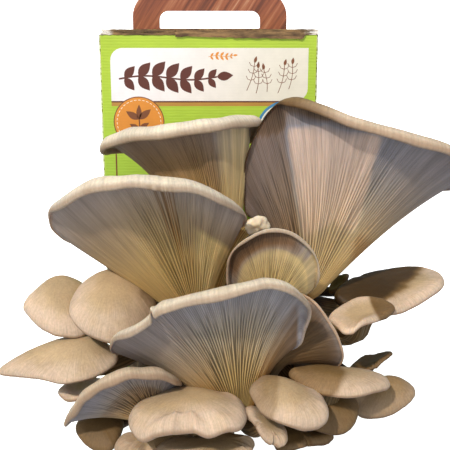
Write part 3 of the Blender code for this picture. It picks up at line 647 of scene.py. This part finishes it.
def node(tree, kind, *inputs, out="", stops=(), **named):
    """Add a shader node. Its inputs are linked or set in their order or by name, and its settings by name.
    A hex code is a colour. The stops are a ramp's places and colours. It gives its first output, or out."""
    kind, settings = ("Math", dict(operation=kind)) if kind.isupper() else KINDS.get(kind, (kind, {}))
    made = tree.nodes.new("ShaderNode" + kind)
    for key, value in {**settings, **named}.items():
        if key not in made.inputs:
            setattr(made, key, value)
    given = list(zip([socket for socket in made.inputs if socket.enabled], inputs))
    given += [(made.inputs[key], value) for key, value in named.items() if key in made.inputs]
    for socket, value in given:
        if isinstance(value, bpy.types.NodeSocket):
            tree.links.new(value, socket)
        else:
            socket.default_value = linear(value) if isinstance(value, str) else value
    for place, code in stops:
        elements = made.color_ramp.elements
        element = elements.new(place) if 0 < place < 1 else elements[-1 if place else 0]
        element.color = linear(code)
    return made.outputs[out] if out else next(socket for socket in made.outputs if socket.enabled)


def new_material(name, pattern, roughness, *values, sockets=()):
    """A material, whose pattern gives its colour, and its relief with how high and strong that is."""
    material = bpy.data.materials.new(name)
    material.use_nodes = True
    tree = material.node_tree
    shader = tree.nodes["Principled BSDF"]
    colour, *relief = pattern(partial(node, tree), *values)
    tree.links.new(colour, shader.inputs["Base Color"])
    if relief:
        height, distance, strength = relief
        bump = node(tree, "Bump", strength, distance, Height=height)
        tree.links.new(bump, shader.inputs["Normal"])
    for socket, value in (("Roughness", roughness), *sockets):
        shader.inputs[socket].default_value = value
    return material


def mushroom_flesh(add, dome, rim, gill_rim, gill_mid, gill_deep, stalk, fresh_and_lit, inwards=0.0,
                   gaps=(0.85, 0.45)):
    """Fresh oyster mushroom: dry matte skin with fine fibres near the rim, and thin soft gills that let
    some light through, with painted shade in the gaps between them, and painted light and shade from the
    tone."""
    along, crest, tone = (add("Attribute", out="Fac", attribute_name=name)
                          for name in ("along", "crest", "tone"))
    grain = add("Attribute", out="Vector", attribute_name="grain")
    place = add("TexCoord", out="Object")
    fibre = add("TexNoise", add("Mapping", grain, Scale=(34, 34, 5)), 1.0, 4.0, 0.6)
    mottle = add("TexNoise", place, 45.0, 3.0)
    speck = add("TexNoise", place, 700.0, 2.0)
    blotch = add("TexNoise", place, 38.0, 4.0, 0.6)
    # Skin: paler at the rim, with fibres that run out from the navel, and a brown line where it ends, partly
    # its own colour and partly painted shade under the rolled rim.
    skin = add("mix", add("grade", add("ADD", along, blotch), 0.95, 1.5), dome, rim)
    lines = add("grade", fibre, 0.35, 0.68, -0.5, 0.5)
    spots = add("ADD", add("grade", mottle, 0.32, 0.68, 0.9, 1.06),
                add("grade", speck, 0.3, 0.7, -0.06, 0.06))
    spots = add("ADD", spots, add("MULTIPLY", lines, add("grade", along, 0.2, 0.7, 0.09, 0.2)))
    skin = add("tint", 1.0, skin, spots)
    skin = add("mix", add("grade", along, 0.975, 1.0, 0.0, 0.6), skin, "#8a684c")
    # Gills: grey at the rim, olive brown further in, cream where they run down the stalk.
    gill = add("mix", add("grade", along, 1.1 + inwards, 1.45 + inwards), gill_rim, gill_mid)
    gill = add("mix", add("grade", along, 1.35 + inwards, 1.8 + inwards), gill, gill_deep)
    gill = add("mix", add("grade", along, 1.85, 2.15), gill, stalk)
    # Painted shade: the gaps between the gills are darkened, the more so where the tone is higher.
    dark = add("SUBTRACT", add("grade", along, 1.05, 1.8, *gaps), add("MULTIPLY", tone, 0.22))
    dark = add("MINIMUM", add("MAXIMUM", dark, 0.15), 0.9)
    gap = add("grade", crest, 0.0, 0.75, dark, 1.0)
    streak = add("TexNoise", add("Mapping", grain, Scale=(9, 9, 0.8)), 1.0, 3.0)
    shade = add("MULTIPLY", gap, add("grade", streak, 0.35, 0.65, 0.85, 1.08))
    shade = add("MULTIPLY", shade, add("grade", fibre, 0.35, 0.65, 0.9, 1.08))
    gill = add("tint", 1.0, gill, shade)
    # Tone: above 0 the flesh is older and browner, and partly painted shade; below 0 it is paler, as fresher
    # flesh and as painted light.
    below = add("grade", along, 1.0, 1.03)
    colour = add("mix", below, skin, gill)
    aged_and_shaded = add("tint", 1.0, colour, add("mix", below, "#a89877", "#ccae8d"))
    colour = add("mix", tone, colour, aged_and_shaded)
    colour = add("mix", add("SUBTRACT", tone, 1.0), colour, add("tint", 1.0, colour, "#8f8776"))
    pale = add("mix", below, "#f3e4c6", add("tint", 1.0, fresh_and_lit, shade))
    return add("mix", add("MULTIPLY", tone, -1.0), colour, pale), fibre, 0.0003, 0.2


def fused_flesh(add):
    """Young fused stalk bases: felted flesh mottled from dark brown to tan, kept dark as painted shade for
    the deep gaps between the mushrooms.
    """
    felt = add("TexNoise", add("Mapping", add("TexCoord", out="Object"), Scale=(1, 1, 0.4)), 130.0, 5.0, 0.6)
    stops = (0.0, "#443422"), (0.5, "#6a5437"), (1.0, "#927b55")
    return add("ValToRGB", add("grade", felt, 0.3, 0.7), stops=stops), felt, 0.0008, 0.6


def printed_board(add):
    """Flexo-printed corrugated board: matte green ink that shows the flutes as faint level lines, paper
    rubbed pale at the left folds, and a dark green line of painted shade at the right folds."""
    place = add("TexCoord", out="Object")
    x, y, z = (add("SeparateXYZ", place, out=axis) for axis in "XYZ")
    wander = add("MULTIPLY", add("TexNoise", place, 30.0, 3.0), 3.0)
    flute = add("SINE", add("ADD", add("MULTIPLY", z, FLUTE_TURN), wander))
    cloud = add("TexNoise", place, 16.0, 4.0)
    fleck = add("TexNoise", add("Mapping", place, Scale=(0.25, 0.25, 1)), 420.0, 3.0)
    tone = add("ADD", add("MULTIPLY", flute, 0.022), add("grade", cloud, 0.3, 0.7, 0.95, 1.04))
    tone = add("ADD", tone, add("grade", fleck, 0.3, 0.7, -0.03, 0.03))
    green = add("tint", 1.0, add("mix", add("grade", z, 0.16, 0.3), "#a7cd45", "#aeca38"), tone)
    # Upright corners, the outer 1 to 2 mm: rubbed pale paper at the left ones, and painted shade at the
    # right ones.
    side = add("SUBTRACT", add("ABSOLUTE", x), (CARTON_WIDTH / 2 - RUBBED) * MM)
    front = add("SUBTRACT", add("ABSOLUTE", y), (CARTON_DEPTH / 2 - RUBBED) * MM)
    rub = add("TexNoise", add("Mapping", place, Scale=(1, 1, 0.2)), 140.0, 5.0)
    corner_mask = add("ADD", add("MULTIPLY", add("MINIMUM", side, front), 900.0), rub)
    rubbed_and_shaded_edge = add("mix", add("grade", x, -0.01, 0.01), "#cfd79a", "#4d5c25")
    return add("mix", add("grade", corner_mask, 0.85, 1.35, 0.0, 0.7), green, rubbed_and_shaded_edge), flute, 0.00012, 0.35


def raw_board(add):
    """Bare corrugated board at its cut and torn edges: brown kraft liners with the dark flutes between."""
    place = add("TexCoord", out="Object")
    x, y = (add("SeparateXYZ", place, out=axis) for axis in "XY")
    fibre = add("TexNoise", add("Mapping", place, Scale=(0.3, 1, 1.6)), 260.0, 5.0, 0.65)
    stain = add("TexNoise", place, 60.0, 3.0)
    mottle = add("ADD", fibre, add("MULTIPLY", stain, 0.6))
    colour = add("mix", add("grade", mottle, 0.62, 1.0), "#4f3a26", "#93734b")
    # The ends of the front edge are rubbed white.
    ends = add("ADD", add("ABSOLUTE", x), add("MULTIPLY", stain, 0.02))
    worn = add("MULTIPLY", add("grade", ends, 0.079, 0.085), add("grade", fibre, 0.4, 0.55))
    worn = add("MULTIPLY", worn, add("grade", y, -0.056, -0.053, 1.0, 0.0))
    return add("mix", worn, colour, "#e4dccf"), fibre, 0.0003, 0.5


def ink(add, left, right=None):
    """Matte printing ink on coated paper, a little uneven."""
    place = add("TexCoord", out="Object")
    x, z = (add("SeparateXYZ", place, out=axis) for axis in "XZ")
    cloud = add("TexNoise", place, 90.0, 5.0, 0.6)
    flute = add("MULTIPLY", add("SINE", add("MULTIPLY", z, FLUTE_TURN)), 0.006)
    tone = add("ADD", add("grade", cloud, 0.3, 0.7, 0.95, 1.02), flute)
    return (add("tint", 1.0, add("mix", add("grade", x, -0.07, 0.07), left, right or left), tone),)


def wood_print(add):
    """Board printed with reddish wood grain, its cut edges left as grey board in two glued layers."""
    place = add("TexCoord", out="Object")
    across = add("SeparateXYZ", place, out="Y")
    facing = add("SeparateXYZ", add("TexCoord", out="Normal"), out="Y")
    # Streaks about 2 mm wide run up to the right, and finer ones with them.
    tilted = add("Mapping", place, Rotation=(0, radians(-33), 0))
    broad = add("TexNoise", add("Mapping", tilted, Scale=(2.4, 1, 0.14)), 60.0, 4.0, 0.6)
    fine = add("TexNoise", add("Mapping", tilted, Scale=(2.4, 1, 0.1)), 240.0, 3.0)
    tone = add("ADD", add("MULTIPLY", broad, 0.7), add("MULTIPLY", fine, 0.3))
    stops = (0.0, "#642f20"), (0.35, "#86452f"), (0.62, "#955036"), (0.85, "#a5654b"), (1.0, "#c08c73")
    wood = add("ValToRGB", add("grade", tone, 0.34, 0.66), stops=stops)
    edge = add("LESS_THAN", add("ABSOLUTE", facing), 0.6)
    # Each layer's middle is a quarter of the thickness from the handle's.
    layer = add("ABSOLUTE", add("SUBTRACT", add("ABSOLUTE", across), HANDLE_THICK / 4 * MM))
    board = add("mix", add("grade", layer, 0.0003, 0.0007), "#6b5a4c", "#a89a8a")
    return add("mix", edge, wood, board), fine, 0.0001, 0.2


def straw(add):
    """Pasteurised straw and sawdust, knit white with threads of the fungus."""
    place = add("TexCoord", out="Object")
    lying = add("Mapping", add("Mapping", place, Rotation=(0.4, 0.7, 0.2)), Scale=(0.3, 1, 1))
    chips = add("TexNoise", lying, 220.0, 4.0, 0.7)
    knit = add("TexNoise", place, 60.0, 5.0, 0.65)
    stops = (0.0, "#5b3f22"), (0.45, "#94713f"), (1.0, "#c9ab74")
    colour = add("ValToRGB", add("grade", chips, 0.3, 0.7), stops=stops)
    return add("mix", add("grade", knit, 0.5, 0.62, 0.0, 0.75), colour, "#e6dcc8"), chips, 0.0012, 0.8


def as_mesh(bm):
    mesh = bpy.data.meshes.new("skin")
    bm.to_mesh(mesh)
    bm.free()
    return mesh


def new_body(name, mesh, *materials, smooth=False):
    """An object at the origin, with its mesh and materials."""
    mesh.name = name
    for material in materials:
        mesh.materials.append(material)
    mesh.polygons.foreach_set("use_smooth", np.full(len(mesh.polygons), smooth))
    mesh.update()
    body = bpy.data.objects.new(name, mesh)
    bpy.context.scene.collection.objects.link(body)
    return body


def new_piece(name, bm, slot, *materials, smooth=False):
    """Finish a piece: outward faces, its materials, its body, attached to the root. The slot is not used."""
    bmesh.ops.recalc_face_normals(bm, faces=bm.faces[:])
    body = new_body(name, as_mesh(bm), *materials, smooth=smooth)
    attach(body, "root")
    return body


def rounded_outline(left, right, low, high, corners, steps=6):
    """Outline of a rectangle, counter-clockwise from its upper right corner, each corner with a radius."""
    outline = []
    for quarter, corner in enumerate(corners):
        x = left + corner if quarter in (1, 2) else right - corner
        z = low + corner if quarter in (2, 3) else high - corner
        turn = 90 * quarter
        outline += arc((x, z), corner, turn, turn + 90, steps) if corner else [(x, z)]
    return outline


def arc(centre, radius, start, end, steps):
    """Places along an arc, with angles in degrees."""
    turns = [radians(start + (end - start) * step / steps) for step in range(steps + 1)]
    return [(centre[0] + radius * cos(a), centre[1] + radius * sin(a)) for a in turns]


def add_box(low, high):
    """A box between two corners, given in millimetres."""
    bm = bmesh.new()
    bmesh.ops.create_cube(bm, size=1)
    bmesh.ops.scale(bm, vec=[(b - a) * MM for a, b in zip(low, high)], verts=bm.verts)
    bmesh.ops.translate(bm, vec=[(a + b) / 2 * MM for a, b in zip(low, high)], verts=bm.verts)
    return bm


def add_loop(bm, outline, y):
    """The closed loop of edges along an outline of x and z, at a depth."""
    verts = [bm.verts.new((x * MM, y * MM, z * MM)) for x, z in outline]
    return [bm.edges.new((a, b)) for a, b in zip(verts, verts[1:] + verts[:1])]


def extruded(bm, faces, x, y, z):
    """Extrude faces so far, in millimetres, and give the new vertices."""
    made = bmesh.ops.extrude_face_region(bm, geom=faces)["geom"]
    verts = [item for item in made if isinstance(item, bmesh.types.BMVert)]
    bmesh.ops.translate(bm, vec=(x * MM, y * MM, z * MM), verts=verts)
    return verts


def carton_piece():
    """The carton's walls, folded from one board, with the window cut in the front."""
    half, deep = CARTON_WIDTH / 2, CARTON_DEPTH / 2
    bm = add_box((-half, -deep, 0), (half, deep, CARTON_HEIGHT))
    folds = [edge for edge in bm.edges if min(vert.co.z for vert in edge.verts) < BOARD * MM]
    bmesh.ops.bevel(bm, geom=folds, offset=FOLD * MM, segments=4, profile=0.5, affect="EDGES", material=-1)
    lid = [face for face in bm.faces if face.normal.z > 0.9]
    front = [face for face in bm.faces if face.normal.y < -0.999]
    border = list(front[0].edges)
    bmesh.ops.delete(bm, geom=lid + front, context="FACES_ONLY")
    window = rounded_outline(-WINDOW_WIDTH / 2, WINDOW_WIDTH / 2, WINDOW_BOTTOM, WINDOW_TOP,
                             (WINDOW_CORNER,) * 4)
    bmesh.ops.bridge_loops(bm, edges=border + add_loop(bm, window, -deep))
    bmesh.ops.recalc_face_normals(bm, faces=bm.faces[:])
    bmesh.ops.solidify(bm, geom=bm.faces[:], thickness=BOARD * MM)
    for face in bm.faces:
        x, y, z = (abs(c) / MM for c in face.calc_center_median())
        inside = x < half - 0.8 and y < deep - 0.3 and z > 0.8
        face.material_index = 1 if inside or z > CARTON_HEIGHT - 0.1 else 0
    return bm


def handle_piece(material):
    """The carry handle: two glued layers of board with rounded corners and a hand slot."""
    bm = bmesh.new()
    loops = []
    for wide, low, top, corner in (
            (HANDLE_WIDTH, CARTON_HEIGHT - HANDLE_DEEP, CARTON_HEIGHT + HANDLE_RISE, HANDLE_CORNER),
            (SLOT_WIDTH, CARTON_HEIGHT + SLOT_LOW, CARTON_HEIGHT + SLOT_TOP, SLOT_CORNER)):
        outline = rounded_outline(-wide / 2, wide / 2, low, top, (corner, corner, 1, 1), 10)
        loops += add_loop(bm, outline, -HANDLE_THICK / 2)
    bmesh.ops.bridge_loops(bm, edges=loops)
    extruded(bm, bm.faces[:], 0, HANDLE_THICK, 0)
    body = new_piece("carry_handle", bm, "wood_print_board", material)
    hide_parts("handle")


def print_shape(bm, outline, proud, material):
    """One printed shape on the carton's front, from its outline of x and z: a closed sheet, a film thick."""
    verts = [bm.verts.new((x * MM, (FRONT - proud) * MM, z * MM)) for x, z in outline]
    face = bm.faces.new(verts)
    for vert in verts + extruded(bm, [face], 0, proud, 0):
        for side in vert.link_faces:
            side.material_index = material


def stroke(points, wide):
    """Outline of a line of even width through the points."""
    points = np.array(points, float)
    way = np.gradient(points, axis=0)
    way /= np.linalg.norm(way, axis=1)[:, None]
    side = np.column_stack((-way[:, 1], way[:, 0])) * wide / 2
    return np.vstack((points - side, (points + side)[::-1])).tolist()


def leaf(foot, tip, wide, steps=8):
    """Outline of a leaf with a pointed tip."""
    foot, tip = np.array(foot, float), np.array(tip, float)
    way = tip - foot
    side = np.array((-way[1], way[0])) / np.linalg.norm(way)
    t = np.linspace(0, 1, steps + 1)
    belly = np.outer(wide / 2 * np.sin(pi * t**0.85), side)
    middle = foot + np.outer(t, way)
    return np.vstack((middle - belly, (middle + belly)[-2:0:-1])).tolist()


def sprig(bm, start, end, sag, pairs, length, wide, stem, colour, proud=0.12):
    """A leafy twig along a shallow curve, with leaves in pairs on both sides."""
    start, end = np.array(start, float), np.array(end, float)
    t = np.linspace(0, 1, 25)
    curve = start + np.outer(t, end - start)
    curve[:, 1] += sag * np.sin(2 * pi * t)
    print_shape(bm, stroke(curve, stem), proud, colour)
    for number in range(pairs):
        at = (number + 0.4) / pairs
        foot = np.array((np.interp(at, t, curve[:, 0]), np.interp(at, t, curve[:, 1])))
        size = length * (0.75 + 0.45 * sin(pi * min(1, at + 0.1)))
        for side, angle in ((1, radians(48)), (-1, radians(-52))):
            tip = foot + size * np.array((cos(angle), sin(angle)))
            print_shape(bm, leaf(foot, tip, wide * size / length), proud + 0.02 * side, colour)
    print_shape(bm, leaf(curve[-1], curve[-1] + (length, length * 0.1), wide), proud, colour)


def front_print():
    """All that is printed on the front: the label with its sprigs, stripes, badge, frame and panels."""
    bm = bmesh.new()
    left, right, low, high = LABEL
    for outline, proud, colour in (
            (rounded_outline(*LABEL, (0, 9, 0, 9)), 0.06, CREAM),
            (rounded_outline(left, right, low - 1.1, low, (0,) * 4), 0.06, BROWN),
            (rounded_outline(left, right, low - 3.8, low - 1.1, (0,) * 4), 0.06, TAN)):
        print_shape(bm, outline, proud, colour)
    sprig(bm, (-66, 272.5), (6, 274), 1.8, 7, 12, 6.6, 1.2, BROWN)
    sprig(bm, (0, 288.5), (18, 289.5), 0.5, 5, 3.4, 1.5, 0.4, ORANGE)
    # Five fine twigs: each one's foot, how far it leans and its height.
    for x, z, lean, tall in ((28, 264, 0.25, 20), (35, 262, 0.05, 18), (43, 263, -0.12, 16),
                             (51, 262, 0.2, 20), (59, 265, 0.1, 18)):
        stem = [(x + lean * t * 22 + 1.2 * sin(3 * t), z + t * tall) for t in np.linspace(0, 1, 9)]
        print_shape(bm, stroke(stem, 0.45), 0.12, RUST)
        for foot in np.array(stem)[3:8:2]:
            for side in (1, -1):
                twig = foot, foot + (side * 2.4, 0.8), foot + (side * 3.6, 3.2)
                print_shape(bm, stroke(twig, 0.4), 0.14, RUST)
        print_shape(bm, leaf(stem[-1], np.array(stem[-1]) + (lean * 6, 5), 2.2), 0.14, RUST)
    x, z, radius = BADGE
    for centre, r, proud, colour in (
            ((x, z), radius, 0.1, RUST), ((x, z), radius - 0.7, 0.13, ORANGE), (PANEL, 21.5, 0.08, SKY),
            (PANEL, 19.6, 0.11, CHALK), (PANEL, 18.6, 0.14, SKY)):
        print_shape(bm, arc(centre, r, 0, 352.5, 47), proud, colour)
    dashes = 34
    for number in range(dashes):
        start = 360 / dashes * number
        print_shape(bm, stroke(arc((x, z), radius - 2.6, start, start + 6.2, 3), 0.5), 0.16, CHALK)
    print_shape(bm, stroke(((x, z - 9), (x + 0.4, z - 2), (x, z + 5)), 0.9), 0.16, RUST)
    for right, up, wide in ((-9.5, 8, 5), (9, 9.5, 5), (0.3, 13, 4), (-7, -1.5, 3.6), (7.5, -0.5, 3.6)):
        foot = (x, z + (2 if up > 0 else -5))
        print_shape(bm, leaf(foot, (x + right, z + up), wide), 0.17, RUST)
    left, right, low, high = FRAME
    line = 1.1
    for box in ((left, right, high - line, high), (left, right, low, low + line),
                (left, left + line, low, high), (right - line, right, low, high)):
        print_shape(bm, rounded_outline(*box, (0,) * 4), 0.06, RUST)
    print_shape(bm, rounded_outline(-67.5, -33.5, 118, 134, (2,) * 4), 0.09, CHALK)
    print_shape(bm, rounded_outline(-61.5, -30.5, 119, 129, (2,) * 4), 0.12, ORANGE)
    return bm


def torn_line(rng, count):
    """How far a torn edge stands out at each step along it, as a share of its roughness."""
    return np.convolve(rng.normal(size=count + 3), (0.3, 0.4, 0.3), "valid")


def print_top(bm):
    """Print the faces that look up, apart from the torn front edge."""
    for face in bm.faces:
        top = face.normal.z > 0.9 and face.calc_center_median().y > (FRONT + 2) * MM
        face.material_index = 1 if top else 0


def lid_pieces(kraft, printed):
    """The lid's plies under the upper flap: kraft at their torn front edges, green on top."""
    rng = np.random.default_rng(5)
    bm = bmesh.new()
    for left, right, low, front, back in (
            (LID_LEFT, LID_RIGHT, 0.1, FRONT - 0.5, -FRONT - 0.5),
            (LID_LEFT + 0.8, FLAP_LEFT - 0.4, PLY + 0.3, FRONT - 0.3, -3),
            (FLAP_LEFT, LID_RIGHT, PLY + 0.4, FRONT - 0.1, -3)):
        count = int((right - left) / 1.2)
        ply = bmesh.new()
        bmesh.ops.create_grid(ply, x_segments=count, y_segments=6, size=1)
        tear = torn_line(rng, count)
        for vert in ply.verts:
            x, y, _ = vert.co
            torn = TEAR * tear[int(round((x + 1) / 2 * count))] if y < -0.9 else 0
            inwards = (back - front) * (y + 1) / 2
            vert.co = Vector((left + (right - left) * (x + 1) / 2, front + inwards + torn,
                              CARTON_HEIGHT + low + torn * 0.5 - LID_SINK * inwards)) * MM
        extruded(ply, ply.faces[:], 0, 0, PLY)
        bmesh.ops.recalc_face_normals(ply, faces=ply.faces[:])
        bm.from_mesh(as_mesh(ply))
    print_top(bm)
    return new_piece("lid_plies", bm, "raw_board", kraft, printed)


def flap_piece(kraft, printed):
    """The lid's upper flap, a little sprung, with its front edge bent over the carton's and torn."""
    rng = np.random.default_rng(8)
    count, last = 80, len(FLAP_BEND) - 1
    bm = bmesh.new()
    bmesh.ops.create_grid(bm, x_segments=count, y_segments=last, size=1)
    tear = torn_line(rng, count)
    for vert in bm.verts:
        gx, gy, _ = vert.co
        step = int(round((gx + 1) / 2 * count))
        share = step / count
        y, z = FLAP_BEND[int(round((gy + 1) / 2 * last))]
        x = FLAP_LEFT + (FLAP_RIGHT - FLAP_LEFT) * share
        if y < -58.3:
            bend = max(0, (306.3 - z) / 1.9)
            end = max(0, x - FLAP_RIGHT + 3) / 3
            z += 0.25 * tear[step] - bend * (2.0 * share - 3.0 * end**2)
            y += 0.15 * tear[step]
        vert.co = Vector((x, y, z)) * MM
    bmesh.ops.solidify(bm, geom=bm.faces[:], thickness=FLAP_THICK * MM)
    bmesh.ops.recalc_face_normals(bm, faces=bm.faces[:])
    print_top(bm)
    body = new_piece("lid_flap", bm, "raw_board", kraft, printed)
    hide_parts("top_flap")


def substrate_piece(material):
    """The block of sawdust and straw, pressed to the carton's shape, with a crumbly face."""
    rng = np.random.default_rng(11)
    half = CARTON_WIDTH / 2 - BOARD - BLOCK_SIDE_PLAY
    deep = CARTON_DEPTH / 2 - BOARD - BLOCK_SIDE_PLAY
    low = BOARD + 0.3
    bm = add_box((-half, -deep, low), (half, deep, low + BLOCK_HEIGHT))
    bmesh.ops.bevel(bm, geom=bm.edges[:], offset=BLOCK_CORNER * MM, segments=4, profile=0.5, affect="EDGES",
                    material=-1)
    long = [edge for edge in bm.edges if edge.calc_length() > 0.02]
    bmesh.ops.subdivide_edges(bm, edges=long, cuts=24, use_grid_fill=True)
    places = np.array([vert.co[:] for vert in bm.verts]) / MM
    dent = np.abs(swell(places, rng, 18, 7)) * 0.9 + np.abs(swell(places, rng, 6, 3)) * 0.4
    bm.normal_update()
    for vert, depth in zip(bm.verts, dent):
        vert.co -= vert.normal * depth * MM
    body = new_piece("substrate", bm, "substrate", material, smooth=True)
    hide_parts("substrate_block")


def clump_piece(material):
    """The knot of fused stalk bases: lumps that run together, flat at the back."""
    rng = np.random.default_rng(12)
    back = FRONT + BOARD + BLOCK_SIDE_PLAY - 0.3
    bm = bmesh.new()
    for middle, radii, fine in CLUMP_LUMPS:
        made = bmesh.ops.create_icosphere(bm, subdivisions=fine, radius=1)["verts"]
        unit = np.array([vert.co[:] for vert in made])
        lumps = 1 - 0.13 * np.abs(swell(unit * 48, rng, 30, 16)) + 0.015 * swell(unit * 48, rng, 7, 3)
        places = np.array(middle) + unit * np.array(radii) * lumps[:, None]
        places[:, 1] = np.minimum(places[:, 1], back)
        for vert, place in zip(made, places):
            vert.co = Vector(place) * MM
    body = new_piece("clump", bm, "mushroom_flesh", material, smooth=True)
    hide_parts("stalk_clump")


def stage():
    """White floor and backdrop, which give no light back, and the camera and lights."""
    white = bpy.data.materials.new("white paper sweep")
    white.use_nodes = True
    shader = white.node_tree.nodes["Principled BSDF"]
    for socket, value in (("Roughness", 0.9), ("Base Color", (0.9, 0.9, 0.9, 1)), ("Emission Strength", 1.0),
                          ("Emission Color", (1, 1, 1, 1))):
        shader.inputs[socket].default_value = value
    bm = bmesh.new()
    bmesh.ops.create_icosphere(bm, subdivisions=4, radius=4)
    for vert in bm.verts:
        vert.co.z = max(vert.co.z, 0)
    bmesh.ops.reverse_faces(bm, faces=bm.faces[:])
    sweep = new_body("sweep", as_mesh(bm), white)
    sweep.visible_diffuse = False
    sweep.visible_glossy = False
    sweep.visible_shadow = False

    scene = bpy.context.scene
    camera = bpy.data.objects.new("camera", bpy.data.cameras.new("camera"))
    camera.location = Vector(CAMERA_PLACE) * MM
    camera.rotation_euler = (radians(90 - CAMERA_DOWN), 0, 0)
    camera.data.sensor_width = SENSOR
    camera.data.lens = FOCAL_PIXELS / IMAGE_PIXELS * SENSOR
    camera.data.clip_start = 0.01
    scene.collection.objects.link(camera)
    scene.camera = camera

    # Each light's strength, how wide it is, its colour, and where it stands.
    for name, energy, wide, colour, azimuth, elevation in (
            ("key", 2.6, 2.5, (1.0, 0.93, 0.84), -27, 42), ("fill", 0.8, 70, (0.96, 0.97, 1.0), 10, 8)):
        sun = bpy.data.lights.new(name, "SUN")
        sun.energy = energy
        sun.angle = radians(wide)
        sun.color = colour
        lamp = bpy.data.objects.new(name, sun)
        way = Vector(-way_out(azimuth, elevation))
        lamp.rotation_euler = way.to_track_quat("-Z", "Y").to_euler()
        scene.collection.objects.link(lamp)
    world = bpy.data.worlds.new("world")
    scene.world = world
    world.use_nodes = True
    background = world.node_tree.nodes["Background"]
    background.inputs["Color"].default_value = (0.9, 0.95, 1.0, 1)
    background.inputs["Strength"].default_value = 0.55
    scene.view_settings.view_transform = "Standard"


# Thin flesh lets some light through.
THIN = (("Specular IOR Level", 0.3), ("Subsurface Weight", 0.3), ("Subsurface Radius", (1.0, 0.6, 0.3)),
        ("Subsurface Scale", 0.004))
looks = {key: new_material("oyster mushroom flesh" + name, mushroom_flesh, 0.6, *values, sockets=THIN)
         for key, (name, *values) in LOOKS.items()}
for number, (key, spec) in enumerate(MUSHROOMS.items()):
    look = spec.pop("look", "cap")
    body = mushroom("oyster_" + key, 100 + number, **spec)
    body.data.materials.append(looks[look])
    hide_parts("mushroom_" + key)
    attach(body, "root")

printed = new_material("printed corrugated board, green", printed_board, 0.55)
kraft = new_material("raw corrugated board", raw_board, 0.8)
carton = new_piece("printed_carton", carton_piece(), "printed_board", printed, kraft)
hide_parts("carton")
inks = [new_material(name, ink, 0.5, *codes) for name, *codes in INKS]
new_piece("front_print", front_print(), "printed_board", *inks)
lid_pieces(kraft, printed)
flap_piece(kraft, printed)
handle_piece(new_material("board with wood print", wood_print, 0.45))
substrate_piece(new_material("straw and sawdust", straw, 0.85))
clump_piece(new_material("fused stalk flesh", fused_flesh, 0.7))

stage()
